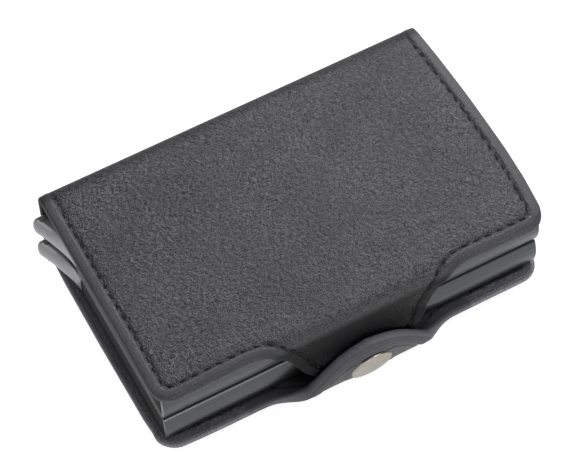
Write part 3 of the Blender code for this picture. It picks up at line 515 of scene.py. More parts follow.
RING_INSETS = (0.08, 0.25, 0.5, 0.85, 1.3, 1.9, 2.4, 2.75, 3.0, 3.2, 3.4, 3.65, 4.0, 4.5)


def blank_mesh():
    """The flat blank as triangles: its outline, rings along its edge, and rows within."""
    points = list(OUTLINE)
    for inset in RING_INSETS:
        points += inset_ring(inset * MM)
    inner = RING_INSETS[-1] * MM + ROW / 2
    top = run_length(UPPER_FRONT) - CORNER_RADIUS
    bottom = run_length(LOWER_FRONT) - CORNER_RADIUS
    rows = np.concatenate(
        [
            -blank_rows(LOWER_FRONT),
            blank_rows(UPPER_FRONT)[1:],
            np.arange(top + ROW / 2, run_length(TONGUE_BEND_Y) + TONGUE_REACH, ROW / 2),
            -np.arange(bottom + ROW / 2, run_length(TAB_BEND_Y) + TAB_REACH, ROW / 2),
        ]
    )
    for i, run in enumerate(rows):
        shift = ROW / 2 if i % 2 else 0
        for x in np.arange(-COVER_END + shift, COVER_END, ROW):
            if edge_distance((x, run)) > inner:
                points.append(Vector((x, run)))
    edges = [(i, (i + 1) % OUTLINE_COUNT) for i in range(OUTLINE_COUNT)]
    flat, _, faces, *_ = delaunay_2d_cdt(points, edges, [], 1, 1e-7)
    places = np.array([(p.x, p.y) for p in flat])
    gaps = np.array([edge_distance(p) for p in flat])
    gaps[:OUTLINE_COUNT] = 0
    return places, gaps, [tuple(face) for face in faces]


BLANK_PLACES, BLANK_GAPS, BLANK_FACES = blank_mesh()


def thickness_here(run, x):
    """Half the leather's thickness: thin at the spine, full on panels, more on the tab."""
    length = np.abs(run)
    panel = smoothstep((length - SPINE_RUN) / (PANEL_RUN - SPINE_RUN))
    half = (SPINE_THICKNESS + (COVER_THICKNESS - SPINE_THICKNESS) * panel) / 2
    tab = (run < 0) * smoothstep((length - run_length(TAB_BEND_Y)) / (5 * MM))
    return half + TAB_EXTRA * tab * share_of_bend(x, TAB_WIDTHS)


def run_up_tab(height):
    """The place on the blank, past the tab's fold, that stands at a height above the floor."""
    runs = run_length(TAB_BEND_Y) + np.arange(2, 16, 0.1) * MM
    heights = MID_HEIGHT - along_path(LOWER_PATH, runs, np.ones(len(runs)))[1]
    return np.interp(height, heights, runs)


CAP_RUN = run_up_tab(CAP_HEIGHT)


def cap_bed(x, run):
    """The padding that fills the tab's face out under the leaning cap."""
    away = np.hypot(x - CLOSURE_X, -run - CAP_RUN)
    height = np.interp(-run - CAP_RUN, (0, CAP_RADIUS), CAP_BED_HEIGHTS)
    return height * smoothstep((CAP_BED_RADIUS - away) / CAP_BED_SLOPE)


def skived(run):
    """Thinning of the long tongue where it bends, so that it lies flat behind the tab."""
    past = run - run_length(TONGUE_BEND_Y)
    start, end = THINNED_SPAN
    thinned = smoothstep((past - start) / (4 * MM)) * smoothstep((end - past) / (3 * MM))
    return TONGUE_THINNED * thinned


def rim_line(gap, height, inset, width):
    """Height of a line along the rim, falling smoothly to nought either side of its inset."""
    return height * np.exp(-(((gap - inset) / width) ** 2))


def edge_dips(gap, run):
    """Height of the outer face off its plain level: rim, edge line, sewn channel, crease."""
    length = np.abs(run)
    on_tab = (run < 0) * smoothstep((length - run_length(TAB_BEND_Y)) / (3 * MM))
    on_panel = smoothstep((length - PANEL_RUN) / (1.5 * MM)) * (1 - on_tab)
    ridge = rim_line(gap, *RIM_RIDGE) + rim_line(gap, *EDGE_LINE)
    sewn = rim_line(gap, *SEWN_CHANNEL) * on_panel
    crease = rim_line(gap, *TAB_CREASE) * on_tab
    sunk = TAB_SUNK * smoothstep((gap - CREASE_INSET) / (0.5 * MM)) * on_tab
    pad = PANEL_PAD * smoothstep((gap - 3.6 * MM) / (2.4 * MM)) * on_panel
    return ridge + sewn + crease - sunk + pad


def pocket_share(x, run):
    """One inside the recess that holds a cover's board and lining, nought on its rim."""
    length = np.abs(run)
    edge = np.minimum(COVER_END - RIM_WIDTH - np.abs(x), length - PANEL_RUN - POCKET_SETBACK)
    edge = np.minimum(edge, run_length(POCKET_FRONT) - length)
    return smoothstep(edge / POCKET_WALL + 0.5)


def cover_surfaces():
    """Outer and inner face of the whole blank, bent round the holder."""
    x, run = BLANK_PLACES.T
    half = thickness_here(run, x)
    part = np.clip(BLANK_GAPS / EDGE_ROUNDING, 0, 1)
    round_off = np.sqrt(1 - (1 - part) ** 2)
    outer = half * round_off + edge_dips(BLANK_GAPS, run) * (part > 0)
    outer += (cap_bed(x, run) - skived(run)) * round_off
    inner = -half * round_off + POCKET_DEPTH * pocket_share(x, run)
    return bend_blank(x, run, outer), bend_blank(x, run, inner)


def drawn_over(x, run):
    """Mask of painted shade and a matt coat: one where the long tongue is drawn over the holder's
    front edge and down behind the tab, and about half at the two folds of the spine."""
    length = np.abs(run)
    tongue = smoothstep((run - run_length(TONGUE_BEND_Y) - TONGUE_SHADE_AND_MATT_START) / (2.2 * MM))
    fold = smoothstep((length - SPINE_RUN + 0.8 * MM) / MM)
    fold *= smoothstep((PANEL_RUN + 1.9 * MM - length) / (1.6 * MM))
    return np.maximum(tongue * share_of_bend(x, TONGUE_WIDTHS), FOLD_SHADE_AND_MATT * fold)


OUTER_FACE, INNER_FACE = cover_surfaces()
BEND_SHADE_AND_MATT = drawn_over(*BLANK_PLACES.T)
# Mask of the painted light on the lower cover's rim: nought on the spine and the upper cover, one
# from 8 mm onto the lower panel, so its sides and front are painted paler
RIM_LIGHT_MASK = np.clip((-BLANK_PLACES[:, 1] - PANEL_RUN) / RIM_LIGHT_FADE, 0, 1)


def edit_faces(points, faces):
    """A bmesh of these faces."""
    draft = bpy.data.meshes.new("draft")
    draft.from_pydata(points, [], faces)
    edit = bmesh.new()
    edit.from_mesh(draft)
    bpy.data.meshes.remove(draft)
    return edit


def close_edit(name, edit):
    """Turns a bmesh's faces outwards and puts it into the scene."""
    bmesh.ops.recalc_face_normals(edit, faces=edit.faces)
    return place_edit(name, edit)


def cover_piece(name, belongs, outer=OUTER_FACE, inner=INNER_FACE):
    """Cuts one piece out of the bent blank and closes it where it was cut."""
    faces = [face for face in BLANK_FACES if belongs(BLANK_PLACES[list(face)].mean(0))]
    used = sorted({i for face in faces for i in face})
    top = {index: i for i, index in enumerate(used)}
    lower = [index for index in used if index >= OUTLINE_COUNT]
    bottom = {index: len(used) + i for i, index in enumerate(lower)}
    for index in used:
        bottom.setdefault(index, top[index])
    points = np.vstack([outer[used], inner[lower]])
    made = [tuple(top[i] for i in face) for face in faces]
    made += [tuple(bottom[i] for i in reversed(face)) for face in faces]
    sides = {pair for face in faces for pair in zip(face, face[1:] + face[:1])}
    cut = sorted((a, b) for a, b in sides if (b, a) not in sides)
    whole = len(made)
    for a, b in cut:
        if top[a] != bottom[a] or top[b] != bottom[b]:
            made.append(tuple(dict.fromkeys([bottom[a], bottom[b], top[b], top[a]])))
    edit = edit_faces(points.tolist(), made)
    edit.faces.ensure_lookup_table()
    for face in edit.faces:
        face.smooth = True
    for face in edit.faces[whole:]:
        for edge in face.edges:
            edge.smooth = False
    # Each vertex carries its distance from the edge, a mask of painted shade and matt coat at the
    # bends, and a mask of painted light on the lower rim
    for key, values in (
        ("edge_gap", BLANK_GAPS), ("drawn_over", BEND_SHADE_AND_MATT), ("handled", RIM_LIGHT_MASK)
    ):
        layer = edit.verts.layers.float.new(key)
        for vertex, index in zip(edit.verts, [*used, *lower]):
            vertex[layer] = values[index]
    return close_edit(name, edit)


def noise(tree, where, size_mm, **inputs):
    """Noise whose widest forms are about this many millimetres across."""
    return add_node(tree, "TexNoise", Vector=where, Scale=1000 / size_mm, **inputs).outputs["Fac"]


def cell_distance(tree, where, size_mm):
    """Distance from the middle of the nearest cell of about this many millimetres."""
    return add_node(tree, "TexVoronoi", Vector=where, Scale=1000 / size_mm).outputs["Distance"]


def combine(tree, operation, *values):
    """One arithmetic step on values and sockets, taken in order."""
    return add_node(tree, "Math", {"operation": operation}, *values).outputs[0]


def tint(tree, factor, tone, by):
    """Multiplies one colour by another, to a share."""
    settings = {"data_type": "RGBA", "blend_type": "MULTIPLY"}
    return add_node(tree, "Mix", settings, Factor=factor, A=tone, B=by).outputs[2]


def colour_ramp(tree, value, *stops):
    """A ramp through stops, each a place with its hex colour or its grey factor."""
    node = add_node(tree, "ValToRGB", Fac=value)
    ramp = node.color_ramp.elements
    for _ in stops[2:]:
        ramp.new(0.5)
    for stop, (place, tone) in zip(ramp, stops):
        stop.position = place
        stop.color = linear(tone) if isinstance(tone, str) else (tone, tone, tone, 1)
    return node.outputs[0]


def raised(tree, height, strength, depth):
    """The surface's slope over a pattern of this height."""
    return add_node(tree, "Bump", Strength=strength, Distance=depth, Height=height).outputs[0]


def add_surface(tree, **inputs):
    """A principled surface, joined to the material's output."""
    shader = add_node(tree, "BsdfPrincipled", **inputs)
    add_node(tree, "OutputMaterial", Surface=shader.outputs[0])


# How much paler the rim is painted on the upper cover and by the spine: partly edge paint, partly
# painted light
RIM_TONE = 1.2


def pressed_pu_leather(name, relief, rim_tone, seam_tone):
    """Split leather with a pressed polyurethane face: fine pebbles, soft creases, satin sheen.
    Where it is stretched over padding, the same face is smoother. Its rim is painted paler by
    rim_tone, partly edge paint and mostly painted light; seam_tone scales the band along the
    seam, and where the leather bends its colour is darkened as painted shade."""
    material, tree, where = new_material(name)
    pebble_mm, pore_mm, fibre_mm, crease_mm = 1.1, 0.26, 0.32, 3.6
    swing_mm, mottle_mm = 13.0, 26.0
    grain_start, grain_full = 2.0 * MM, 2.7 * MM
    # The edge distance, the mask of painted shade at the bends, and the mask of painted light on
    # the lower rim
    gap, drawn, handled = (
        add_node(tree, "Attribute", {"attribute_name": key}).outputs["Fac"]
        for key in ("edge_gap", "drawn_over", "handled")
    )
    cells = cell_distance(tree, where, pebble_mm)
    slanted = add_node(
        tree, "Mapping", Vector=where, Rotation=(0, 0, math.radians(24)), Scale=(1.0, 0.36, 1.0)
    )
    creases = add_node(
        tree, "TexNoise", {"noise_type": "RIDGED_MULTIFRACTAL", "normalize": True},
        Vector=slanted.outputs[0], Scale=1000 / crease_mm, Detail=6.0, Roughness=0.7,
    )
    # The grain flows along the hide in one place and across it in the next, over fine pores
    swing = add_node(tree, "TexNoise", Vector=where, Scale=1000 / swing_mm, Detail=1.0)
    drift = add_node(
        tree, "VectorMath", {"operation": "MULTIPLY_ADD"},
        swing.outputs["Color"], (swing_mm / 2 * MM,) * 3, where,
    )
    flows = []
    for lying in ((0.4, 1, 1), (1, 0.4, 1)):
        laid = add_node(tree, "Mapping", Vector=drift.outputs[0], Scale=lying)
        flows.append(noise(tree, laid.outputs[0], fibre_mm, Detail=1.0))
    zone = remap(tree, swing.outputs["Fac"], 0.46, 0.56)
    flow = add_node(tree, "Mix", Factor=zone, A=flows[0], B=flows[1]).outputs[0]
    specks = noise(tree, where, pore_mm, Detail=0.0, Distortion=0.3)
    pores = add_node(tree, "Mix", Factor=0.45, A=specks, B=flow).outputs[0]
    # The painted edge is smooth: the grain starts two millimetres in from it
    folded = remap(tree, creases.outputs["Fac"], 0.2, 0.9, last=0.4)
    pebbles = combine(tree, "MULTIPLY_ADD", cells, -0.75, folded)
    height = combine(tree, "MULTIPLY_ADD", pores, 1.2, pebbles)
    grained = remap(tree, gap, grain_start, grain_full, first=0.12)
    # Painted glints and shade of the grain: the pebbles' tops are painted paler than the valleys
    # between them
    mottle = noise(tree, where, mottle_mm, Detail=4.0)
    tone = colour_ramp(tree, mottle, (0.32, "#2A2A2D"), (0.7, "#333336"))
    tops = colour_ramp(tree, pores, (0.43, 1 - 0.76 * relief), (0.585, 1 + 1.75 * relief))
    edge_falloff = remap(tree, gap, grain_start, grain_full, first=0.3)
    slack = remap(tree, drawn, 0, 1, 1.0, 0.25)
    grain = tint(tree, combine(tree, "MULTIPLY", edge_falloff, slack), tone, tops)
    # Across the rim: paler edge paint, partly a painted reflection; a fine line; the turned
    # ridge;
    # the sewn channel, darkened as painted shade; and the band along the seam, scaled by
    # seam_tone
    rim = colour_ramp(
        tree, remap(tree, gap, 0, 5 * MM), (0, 2.2), (0.035, 2.0), (0.06, 1.1), (0.19, 1.1),
        (0.225, 0.7), (0.26, 1.15), (0.48, 1.05), (0.57, 0.5 * seam_tone),
        (0.69, 0.5 * seam_tone), (0.75, 0.95 * seam_tone), (1, 1.0),
    )
    # The rim is painted paler as painted light, most on the lower cover and the tab away from the
    # spine
    rim_light_tone = remap(tree, handled, 0, 1, RIM_TONE, rim_tone)
    paler = remap(tree, gap, RIM_WIDTH, 2.85 * MM, rim_light_tone, 1.0)
    # The coat is matt where the leather is bent, and its colour is darkened there as painted
    # shade, most where the tongue turns down behind the tab
    lit = combine(tree, "MULTIPLY", remap(tree, drawn, 0, 1, 1.0, 0.33), paler)
    shown = add_node(
        tree, "VectorMath", {"operation": "SCALE"}, tint(tree, 1.0, grain, rim), Scale=lit
    )
    rough = remap(tree, pores, 0.3, 0.7, 0.38, 0.54)
    waxed = remap(tree, gap, grain_start, grain_full, 1.4, 1.0)
    add_surface(
        tree, Base_Color=shown.outputs[0], Roughness=combine(tree, "MULTIPLY", rough, waxed),
        Normal=raised(tree, height, grained, relief * 0.36 * MM), IOR=1.5,
        Specular_IOR_Level=remap(tree, drawn, 0, 1, 0.5, 0.12),
    )
    return material


# The lower cover's and the tab's rims are painted far paler as painted light, and so is the tab's
# band along its crease
leather = pressed_pu_leather("grained_pu_leather", 1.0, RIM_TONE, 0.95)
leather_painted_rim_light = pressed_pu_leather("handled_pu_leather", 1.0, 3.5, 1.0)
stretched_leather_painted_light = pressed_pu_leather("stretched_pu_leather", 0.3, 2.3, 2.5)
TAB_ROOT_Y = -27.6 * MM
TAB_ROOT_HALF = 29.0 * MM


def on_tab(place):
    """True on the part of the lower end that folds with the tab."""
    return -place[1] > run_length(TAB_ROOT_Y) and abs(place[0] - CLOSURE_X) < TAB_ROOT_HALF


upper_skin = cover_piece("upper_cover_skin", lambda place: place[1] > 0)
lower_skin = cover_piece("lower_cover_skin", lambda place: place[1] <= 0 and not on_tab(place))
tab_skin = cover_piece("closure_tab_skin", on_tab)
for skin, hide in (
    (upper_skin, leather), (lower_skin, leather_painted_rim_light), (tab_skin, stretched_leather_painted_light)
):
    skin.data.materials.append(hide)
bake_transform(upper_skin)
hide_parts("upper_cover_leather", "spine_leather")
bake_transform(lower_skin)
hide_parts("lower_cover_leather")
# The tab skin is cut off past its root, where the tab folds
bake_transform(tab_skin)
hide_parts("closure_tab_leather")

# Stitching
# Bonded polyester thread, 0.5 mm thick, lockstitched 3 mm apart round each cover's sides and
# front and down the long tongue. It lies in a pressed channel, a little slanted.
STITCH_PITCH = 3.0 * MM
STITCH_LENGTH = 2.0 * MM
THREAD_HALF = 0.24 * MM
THREAD_LIFT = 0.16 * MM
THREAD_DIP = 0.4 * MM
THREAD_FLATTENED = 0.85
STITCH_SLANT = math.radians(7)
STITCH_STATIONS = 7
THREAD_SIDES = 6
# The lower cover's seams stop short of the tab
LOWER_SEAM_FRONT = -30 * MM
LOWER_SEAM_CLEAR = 33 * MM
SEAM_BREAK = 4 * MM
SEAM_START = PANEL_RUN + 2 * MM


def sewn_lines(side):
    """The sewing line on one half of the blank, in unbroken runs of places."""
    lines, last = [], None
    for place in inset_ring(STITCH_INSET):
        run = place.y * side
        clear = run < run_length(LOWER_SEAM_FRONT) or abs(place.x) > LOWER_SEAM_CLEAR
        if run <= SEAM_START or not (side > 0 or clear):
            last = None
            continue
        if last is None or (place - last).length > SEAM_BREAK:
            lines.append([])
        lines[-1].append(place)
        last = place
    return [line for line in lines if len(line) > 4]


def stitch_places(line):
    """Start and heading of each stitch along a sewing line."""
    steps = np.array([(b - a).length for a, b in zip(line, line[1:])])
    along = np.concatenate([[0], np.cumsum(steps)])
    x, run = np.array([tuple(place) for place in line]).T
    for start in np.arange(STITCH_PITCH / 4, along[-1] - STITCH_LENGTH, STITCH_PITCH):
        ends = np.array([start, start + STITCH_LENGTH])
        yield np.interp(ends, along, x), np.interp(ends, along, run)


def stitch_row(name, side, outside):
    """All the stitches that show on one face of a cover, as short capsules of thread."""
    turn = np.linspace(0, 2 * math.pi, THREAD_SIDES, endpoint=False)
    along = np.linspace(-1, 1, STITCH_STATIONS)
    width = THREAD_HALF * np.sqrt(np.clip(1 - along**4, 0.03, 1))
    lift = THREAD_LIFT - THREAD_DIP * np.abs(along) ** 3
    points, faces = [], []
    for line in sewn_lines(side):
        for x, run in stitch_places(line):
            middle = Vector((x.mean(), run.mean()))
            way = Vector((x[1] - x[0], run[1] - run[0]))
            way.rotate(Matrix.Rotation(STITCH_SLANT, 2))
            aside = Vector((-way.y, way.x)).normalized()
            spots = np.outer(along / 2, way) + np.array(middle)
            spots = spots[:, None] + np.cos(turn)[None, :, None] * np.outer(width, aside)[:, None]
            flat_x, flat_run = spots.reshape(-1, 2).T
            proud = thickness_here(flat_run, flat_x)
            if outside:
                proud = proud + edge_dips(STITCH_INSET, flat_run) - skived(flat_run)
            proud = proud + np.repeat(lift, THREAD_SIDES)
            proud += (np.outer(width, np.sin(turn)) * THREAD_FLATTENED).ravel()
            base = len(points)
            points += bend_blank(flat_x, flat_run, proud if outside else -proud).tolist()
            for a in range(base, len(points) - THREAD_SIDES, THREAD_SIDES):
                b = a + THREAD_SIDES
                for j in range(THREAD_SIDES):
                    k = (j + 1) % THREAD_SIDES
                    faces.append((a + j, b + j, b + k, a + k))
            faces.append(tuple(range(base, base + THREAD_SIDES)))
            faces.append(tuple(reversed(range(len(points) - THREAD_SIDES, len(points)))))
    row = close_edit(name, edit_faces(points, faces))
    row.data.shade_smooth()
    return row


def bonded_thread():
    """Bonded polyester thread, black, with the slight gloss of its wax and a 0.5 mm twist."""
    material, tree, where = new_material("bonded_polyester_thread")
    twist_mm, waves_across = 0.5, 20
    twist = add_node(
        tree, "TexWave", {"bands_direction": "DIAGONAL"}, Vector=where,
        Scale=1000 / twist_mm / waves_across, Distortion=1.5, Detail=2.0,
    ).outputs["Fac"]
    add_surface(
        tree, Base_Color=colour_ramp(tree, twist, (0, "#0F0F11"), (1, "#1E1E22")),
        Roughness=0.7, IOR=1.5, Normal=raised(tree, twist, 0.5, 0.05 * MM),
        Specular_IOR_Level=0.25, Sheen_Weight=0.05,
    )
    return material


thread = bonded_thread()
for body, side in (("upper_cover", 1), ("lower_cover", -1)):
    for name, outside in (("stitches", True), ("bobbin_stitches", False)):
        row = stitch_row(f"{body}_{name}", side, outside)
        row.data.materials.append(thread)
        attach(row, body)

# Linings
# A black napped lining is glued over each board and turned in under the leather's rim. The
# spine and the back of the tab have their own, cut a little smaller than the leather.
NAP_STEP = 1.5 * MM
LINING_CORNER = 2.0 * MM
LINING_TURN = (1.0 * MM, 0.3 * MM)
NAP_HEIGHT = 0.08 * MM
NAP_WAVE = 0.05 * MM
TAB_LINING_INSET = 3.2 * MM
TAB_LINING_START = 6 * MM
# Heights of the tab lining's two faces over the back of the leather
TAB_LINING_FACES = (0.05 * MM, -0.4 * MM)


def grid_faces(rows, columns):
    """Quads between the points of a grid that is listed row by row."""
    starts = [i * columns + j for i in range(rows - 1) for j in range(columns - 1)]
    return [(a, a + columns, a + columns + 1, a + 1) for a in starts]


def rounded_grid(low, high, radius, step):
    """Flat grid over a rounded rectangle, its corner points drawn in on to the arcs."""
    counts = [max(4, round((b - a) / step)) for a, b in zip(low, high)]
    sides = [np.linspace(a, b, count + 1) for a, b, count in zip(low, high, counts)]
    x, y = (grid.ravel() for grid in np.meshgrid(*sides, indexing="ij"))
    middle = [(a + b) / 2 for a, b in zip(low, high)]
    reach = [(b - a) / 2 for a, b in zip(low, high)]
    out_x = np.abs(x - middle[0]) - (reach[0] - radius)
    out_y = np.abs(y - middle[1]) - (reach[1] - radius)
    corner = (out_x > 0) & (out_y > 0)
    square = np.maximum(out_x, out_y) / np.maximum(np.hypot(out_x, out_y), 1e-9)
    x = np.where(corner, x - np.sign(x - middle[0]) * out_x * (1 - square), x)
    y = np.where(corner, y - np.sign(y - middle[1]) * out_y * (1 - square), y)
    columns = counts[1] + 1
    rim = [i * columns for i in range(counts[0])]
    rim += [counts[0] * columns + j for j in range(counts[1])]
    rim += [i * columns + counts[1] for i in range(counts[0], 0, -1)]
    rim += list(range(counts[1], 0, -1))
    return x, y, grid_faces(counts[0] + 1, columns), rim


def closed_ply(name, near, far, faces, rim):
    """A thin ply from its two faces, walled round their shared outline."""
    count = len(near)
    made = [tuple(reversed(face)) for face in faces]
    made += [tuple(count + i for i in face) for face in faces]
    for a, b in zip(rim, rim[1:] + rim[:1]):
        made.append((a, b, count + b, count + a))
    ply = close_edit(name, edit_faces(np.vstack([near, far]).tolist(), made))
    ply.data.shade_smooth()
    return ply


def rounded_off(x, y, low, high, width, depth):
    """How far a ply's face falls at its rim, as a quarter round of a width and a depth."""
    across = np.minimum(x - low.x, high.x - x)
    along = np.minimum(y - low.y, high.y - y)
    part = np.clip(np.minimum(across, along) / width, 0, 1)
    return depth * (1 - np.sqrt(1 - (1 - part) ** 2))


def napped(x, y):
    """How far the lining's loose places stand off its board, with no fixed rhythm."""
    wave = np.sin(x / (7.3 * MM) + 1.3 * np.sin(y / (9.1 * MM)))
    wave += 0.6 * np.sin(y / (5.2 * MM) + 1.7 * np.sin(x / (12.4 * MM)))
    return NAP_WAVE * wave


def lining_sheet(name, node, side):
    """A cover's lining over its board, crowned with the cover that it is glued to."""
    low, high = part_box(node)
    x, y, faces, rim = rounded_grid(low.xy, high.xy, LINING_CORNER, NAP_STEP)
    arch = crown(x, y) if side > 0 else 0 * x
    turned = rounded_off(x, y, low, high, *LINING_TURN)
    near_z, far_z = (low.z, high.z) if side > 0 else (high.z, low.z)
    near = np.column_stack([x, y, near_z + side * (napped(x, y) + turned + NAP_HEIGHT) + arch])
    far = np.column_stack([x, y, far_z + arch])
    return closed_ply(name, near, far, faces, rim)


def napped_lining():
    """Brushed microfibre: a short black nap that scatters light and shows stroked patches."""
    material, tree, where = new_material("brushed_microfibre_lining")
    fibre_mm, stroke_mm = 0.25, 9.0
    fibres = noise(tree, where, fibre_mm, Detail=3.0)
    strokes = noise(tree, where, stroke_mm, Detail=3.0, Distortion=1.2)
    both = combine(tree, "MULTIPLY_ADD", fibres, 0.5, strokes)
    add_surface(
        tree, Base_Color=colour_ramp(tree, both, (0.5, "#1B1B1D"), (1.0, "#34343A")),
        Roughness=0.92, IOR=1.45, Normal=raised(tree, fibres, 0.6, 0.08 * MM),
        Sheen_Weight=0.5, Sheen_Roughness=0.45,
    )
    return material


lining = napped_lining()
upper_lining = lining_sheet("upper_lining_sheet", "upper_lining", 1)
lower_lining = lining_sheet("lower_lining_sheet", "lower_lining", -1)
low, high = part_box("spine_lining")
x, z, faces, rim = rounded_grid((low.x, low.z), (high.x, high.z), LINING_CORNER, NAP_STEP)
near = np.column_stack([x, low.y + NAP_HEIGHT + 0.8 * napped(x, z), z])
far = np.column_stack([x, np.full(len(x), high.y), z])
spine_lining = closed_ply("spine_lining_sheet", near, far, faces, rim)
# The tab's lining is cut from the same blank as its leather, and starts past the fold
x, run = BLANK_PLACES.T
tab_back = thickness_here(run, x)
tab_lining_root = run_length(TAB_BEND_Y) + TAB_LINING_START
tab_lining = cover_piece(
    "closure_tab_lining_sheet",
    lambda place: -place[1] > tab_lining_root and edge_distance(place) > TAB_LINING_INSET,
    *(bend_blank(x, run, height - tab_back) for height in TAB_LINING_FACES),
)
for sheet, node, body in (
    (upper_lining, "upper_lining", "upper_cover"),
    (lower_lining, "lower_lining", "lower_cover"),
    (spine_lining, "spine_lining", "spine"),
    (tab_lining, "closure_tab_lining", "closure_tab"),
):
    sheet.data.materials.append(lining)
    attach(sheet, body)
    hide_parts(node)
low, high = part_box("upper_lining")
low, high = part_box("spine_lining")

# Boards and tape
# A 0.6 mm grey board stiffens each cover, and white foam tape holds each case to its lining.
# Both are shut in, and show only as thin edges.


def recycled_grey_board():
    """Pressed waste paper: matt grey with darker and paler flecks about 1 mm long."""
    material, tree, where = new_material("recycled_grey_board")
    flecks = cell_distance(tree, where, 1.1)
    add_surface(
        tree, Base_Color=colour_ramp(tree, flecks, (0, "#77736B"), (1, "#8C8880")),
        Roughness=0.9, IOR=1.5, Normal=raised(tree, flecks, 0.3, 0.04 * MM),
    )
    return material


def acrylic_foam_tape():
    """White closed-cell foam with a clear adhesive skin: milky, with cells of 0.3 mm."""
    material, tree, where = new_material("acrylic_foam_tape")
    cells = cell_distance(tree, where, 0.3)
    add_surface(
        tree, Base_Color=colour_ramp(tree, cells, (0, "#D6D4CC"), (1, "#C2C0B8")),
        Roughness=0.5, IOR=1.47, Normal=raised(tree, cells, 0.4, 0.04 * MM),
    )
    return material


def finish_nodes(material, *names):
    """Gives carried-over parts their material."""
    for name in names:
        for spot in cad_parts[name].material_slots:
            spot.material = material


finish_nodes(recycled_grey_board(), "upper_board", "lower_board")
finish_nodes(acrylic_foam_tape(), "upper_glue_pad", "lower_glue_pad")

# Card cases
# Each case is a flat tube of 6063 aluminium, extruded, cut to length, blasted with fine beads
# and anodised gunmetal. The blasting leaves it satin, with the faintest lines along the tube.


def gunmetal_anodised_aluminium():
    """Bead-blasted and anodised: an even dark satin metal, a little mottled, that takes soft
    reflections, with extrusion lines 0.4 mm apart along the tube just to be seen."""
    material, tree, where = new_material("gunmetal_anodised_aluminium")
    bead_mm, line_mm = 0.16, 0.4
    beads = noise(tree, where, bead_mm, Detail=2.0)
    drawn = add_node(tree, "Mapping", Vector=where, Scale=(0.01, 1.0, 1.0)).outputs[0]
    lines = noise(tree, drawn, line_mm, Detail=3.0)
    height = combine(tree, "MULTIPLY_ADD", lines, 0.6, beads)
    add_surface(
        tree, Base_Color=colour_ramp(tree, lines, (0.3, "#494A4C"), (0.7, "#545557")),
        Roughness=remap(tree, beads, 0.3, 0.7, 0.3, 0.42),
        Normal=raised(tree, height, 0.25, 0.012 * MM), Metallic=1.0,
    )
    return material


finish_nodes(gunmetal_anodised_aluminium(), "upper_case_shell", "lower_case_shell")

# End plugs
# Black glass-filled nylon, moulded, shuts each tube behind the cards and carries the pin.
# Its mould was spark-eroded, which leaves the face matt.


def moulded_black_nylon():
    """Glass-filled nylon from a spark-eroded mould: black, matt, with a 0.4 mm texture."""
    material, tree, where = new_material("moulded_black_nylon")
    spark = noise(tree, where, 0.4, Detail=4.0)
    add_surface(
        tree, Base_Color=colour_ramp(tree, spark, (0, "#131314"), (1, "#1C1C1D")),
        Roughness=remap(tree, spark, 0.3, 0.7, 0.66, 0.8),
        Normal=raised(tree, spark, 0.35, 0.03 * MM), IOR=1.53, Specular_IOR_Level=0.12,
    )
    return material


finish_nodes(moulded_black_nylon(), "upper_end_plug", "lower_end_plug")

# Levers and their pins
# Each lever is moulded ABS with a metallic grey lacquer, turning on a ground steel pin that
# is pressed into the plug. Its round nose is what the thumb pushes in.
NOSE_PLANE_X = -47.45 * MM
NOSE_FRONT_Y = 26.9 * MM
NOSE_OUTLINE = (
    (-47.45, 15.5), (-48.6, 18.5), (-50.0, 22.1), (-51.2, 25.1), (-51.85, 26.6),
    (-51.95, 27.5), (-51.5, 28.2), (-50.6, 28.4), (-49.2, 28.4), (-47.45, 28.3),
)
NOSE_ROUNDING = 2.9 * MM
NOSE_PROUD = 0.2 * MM
NOSE_STEP = 0.6 * MM
NOSE_ROWS = 19
SHARP_EDGE = math.radians(32)


def nose_faces(low, high):
    """The thumb nose: its outline from above, drawn round to a half oval section."""
    line = curve_through([(x * MM, y * MM) for x, y in NOSE_OUTLINE], NOSE_STEP)
    rise = (high.z - low.z) / 2 + NOSE_PROUD
    middle = (high.z + low.z) / 2
    inner = []
    for i, place in enumerate(line):
        along = line[min(i + 1, len(line) - 1)] - line[max(i - 1, 0)]
        inward = Vector((along.y, -along.x)).normalized()
        reach = NOSE_ROUNDING
        if inward.x > 0:
            reach = min(reach, (NOSE_PLANE_X - place.x) / inward.x)
        moved = place + inward * reach
        inner.append(Vector((min(moved.x, NOSE_PLANE_X), min(moved.y, NOSE_FRONT_Y))))
    angles = np.radians(np.linspace(90, -90, NOSE_ROWS))
    points = []
    for angle in angles:
        out = max(0, math.cos(angle)) ** 0.8
        up = math.copysign(abs(math.sin(angle)) ** 0.9, angle)
        for place, core in zip(line, inner):
            spot = core + (place - core) * out
            points.append((spot.x, spot.y, middle + rise * up))
    count = len(line)
    faces = grid_faces(len(angles), count)
    faces.append(tuple(range(count)))
    faces.append(tuple(reversed(range(len(points) - count, len(points)))))
    return points, faces


def lever_moulding(name, node):
    """The carried lever inside its case, with the nose outside the case made rounder."""
    low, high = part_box(node)
    edit = bmesh.new()
    edit.from_mesh(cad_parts[node].data)
    bmesh.ops.remove_doubles(edit, verts=edit.verts, dist=0.002 * MM)
    everything = [*edit.verts, *edit.edges, *edit.faces]
    bmesh.ops.bisect_plane(
        edit, geom=everything, plane_co=(NOSE_PLANE_X, 0, 0), plane_no=(-1, 0, 0),
        clear_outer=True,
    )
    bmesh.ops.holes_fill(edit, edges=[edge for edge in edit.edges if edge.is_boundary])
    points, faces = nose_faces(low, high)
    made = [edit.verts.new(point) for point in points]
    nose = [edit.faces.new(list(dict.fromkeys(made[i] for i in face))) for face in faces]
    bmesh.ops.recalc_face_normals(edit, faces=nose)
    for face in edit.faces:
        face.smooth = True
    for edge in edit.edges:
        if len(edge.link_faces) == 2 and edge.calc_face_angle(0) > SHARP_EDGE:
            edge.smooth = False
    return place_edit(name, edit)


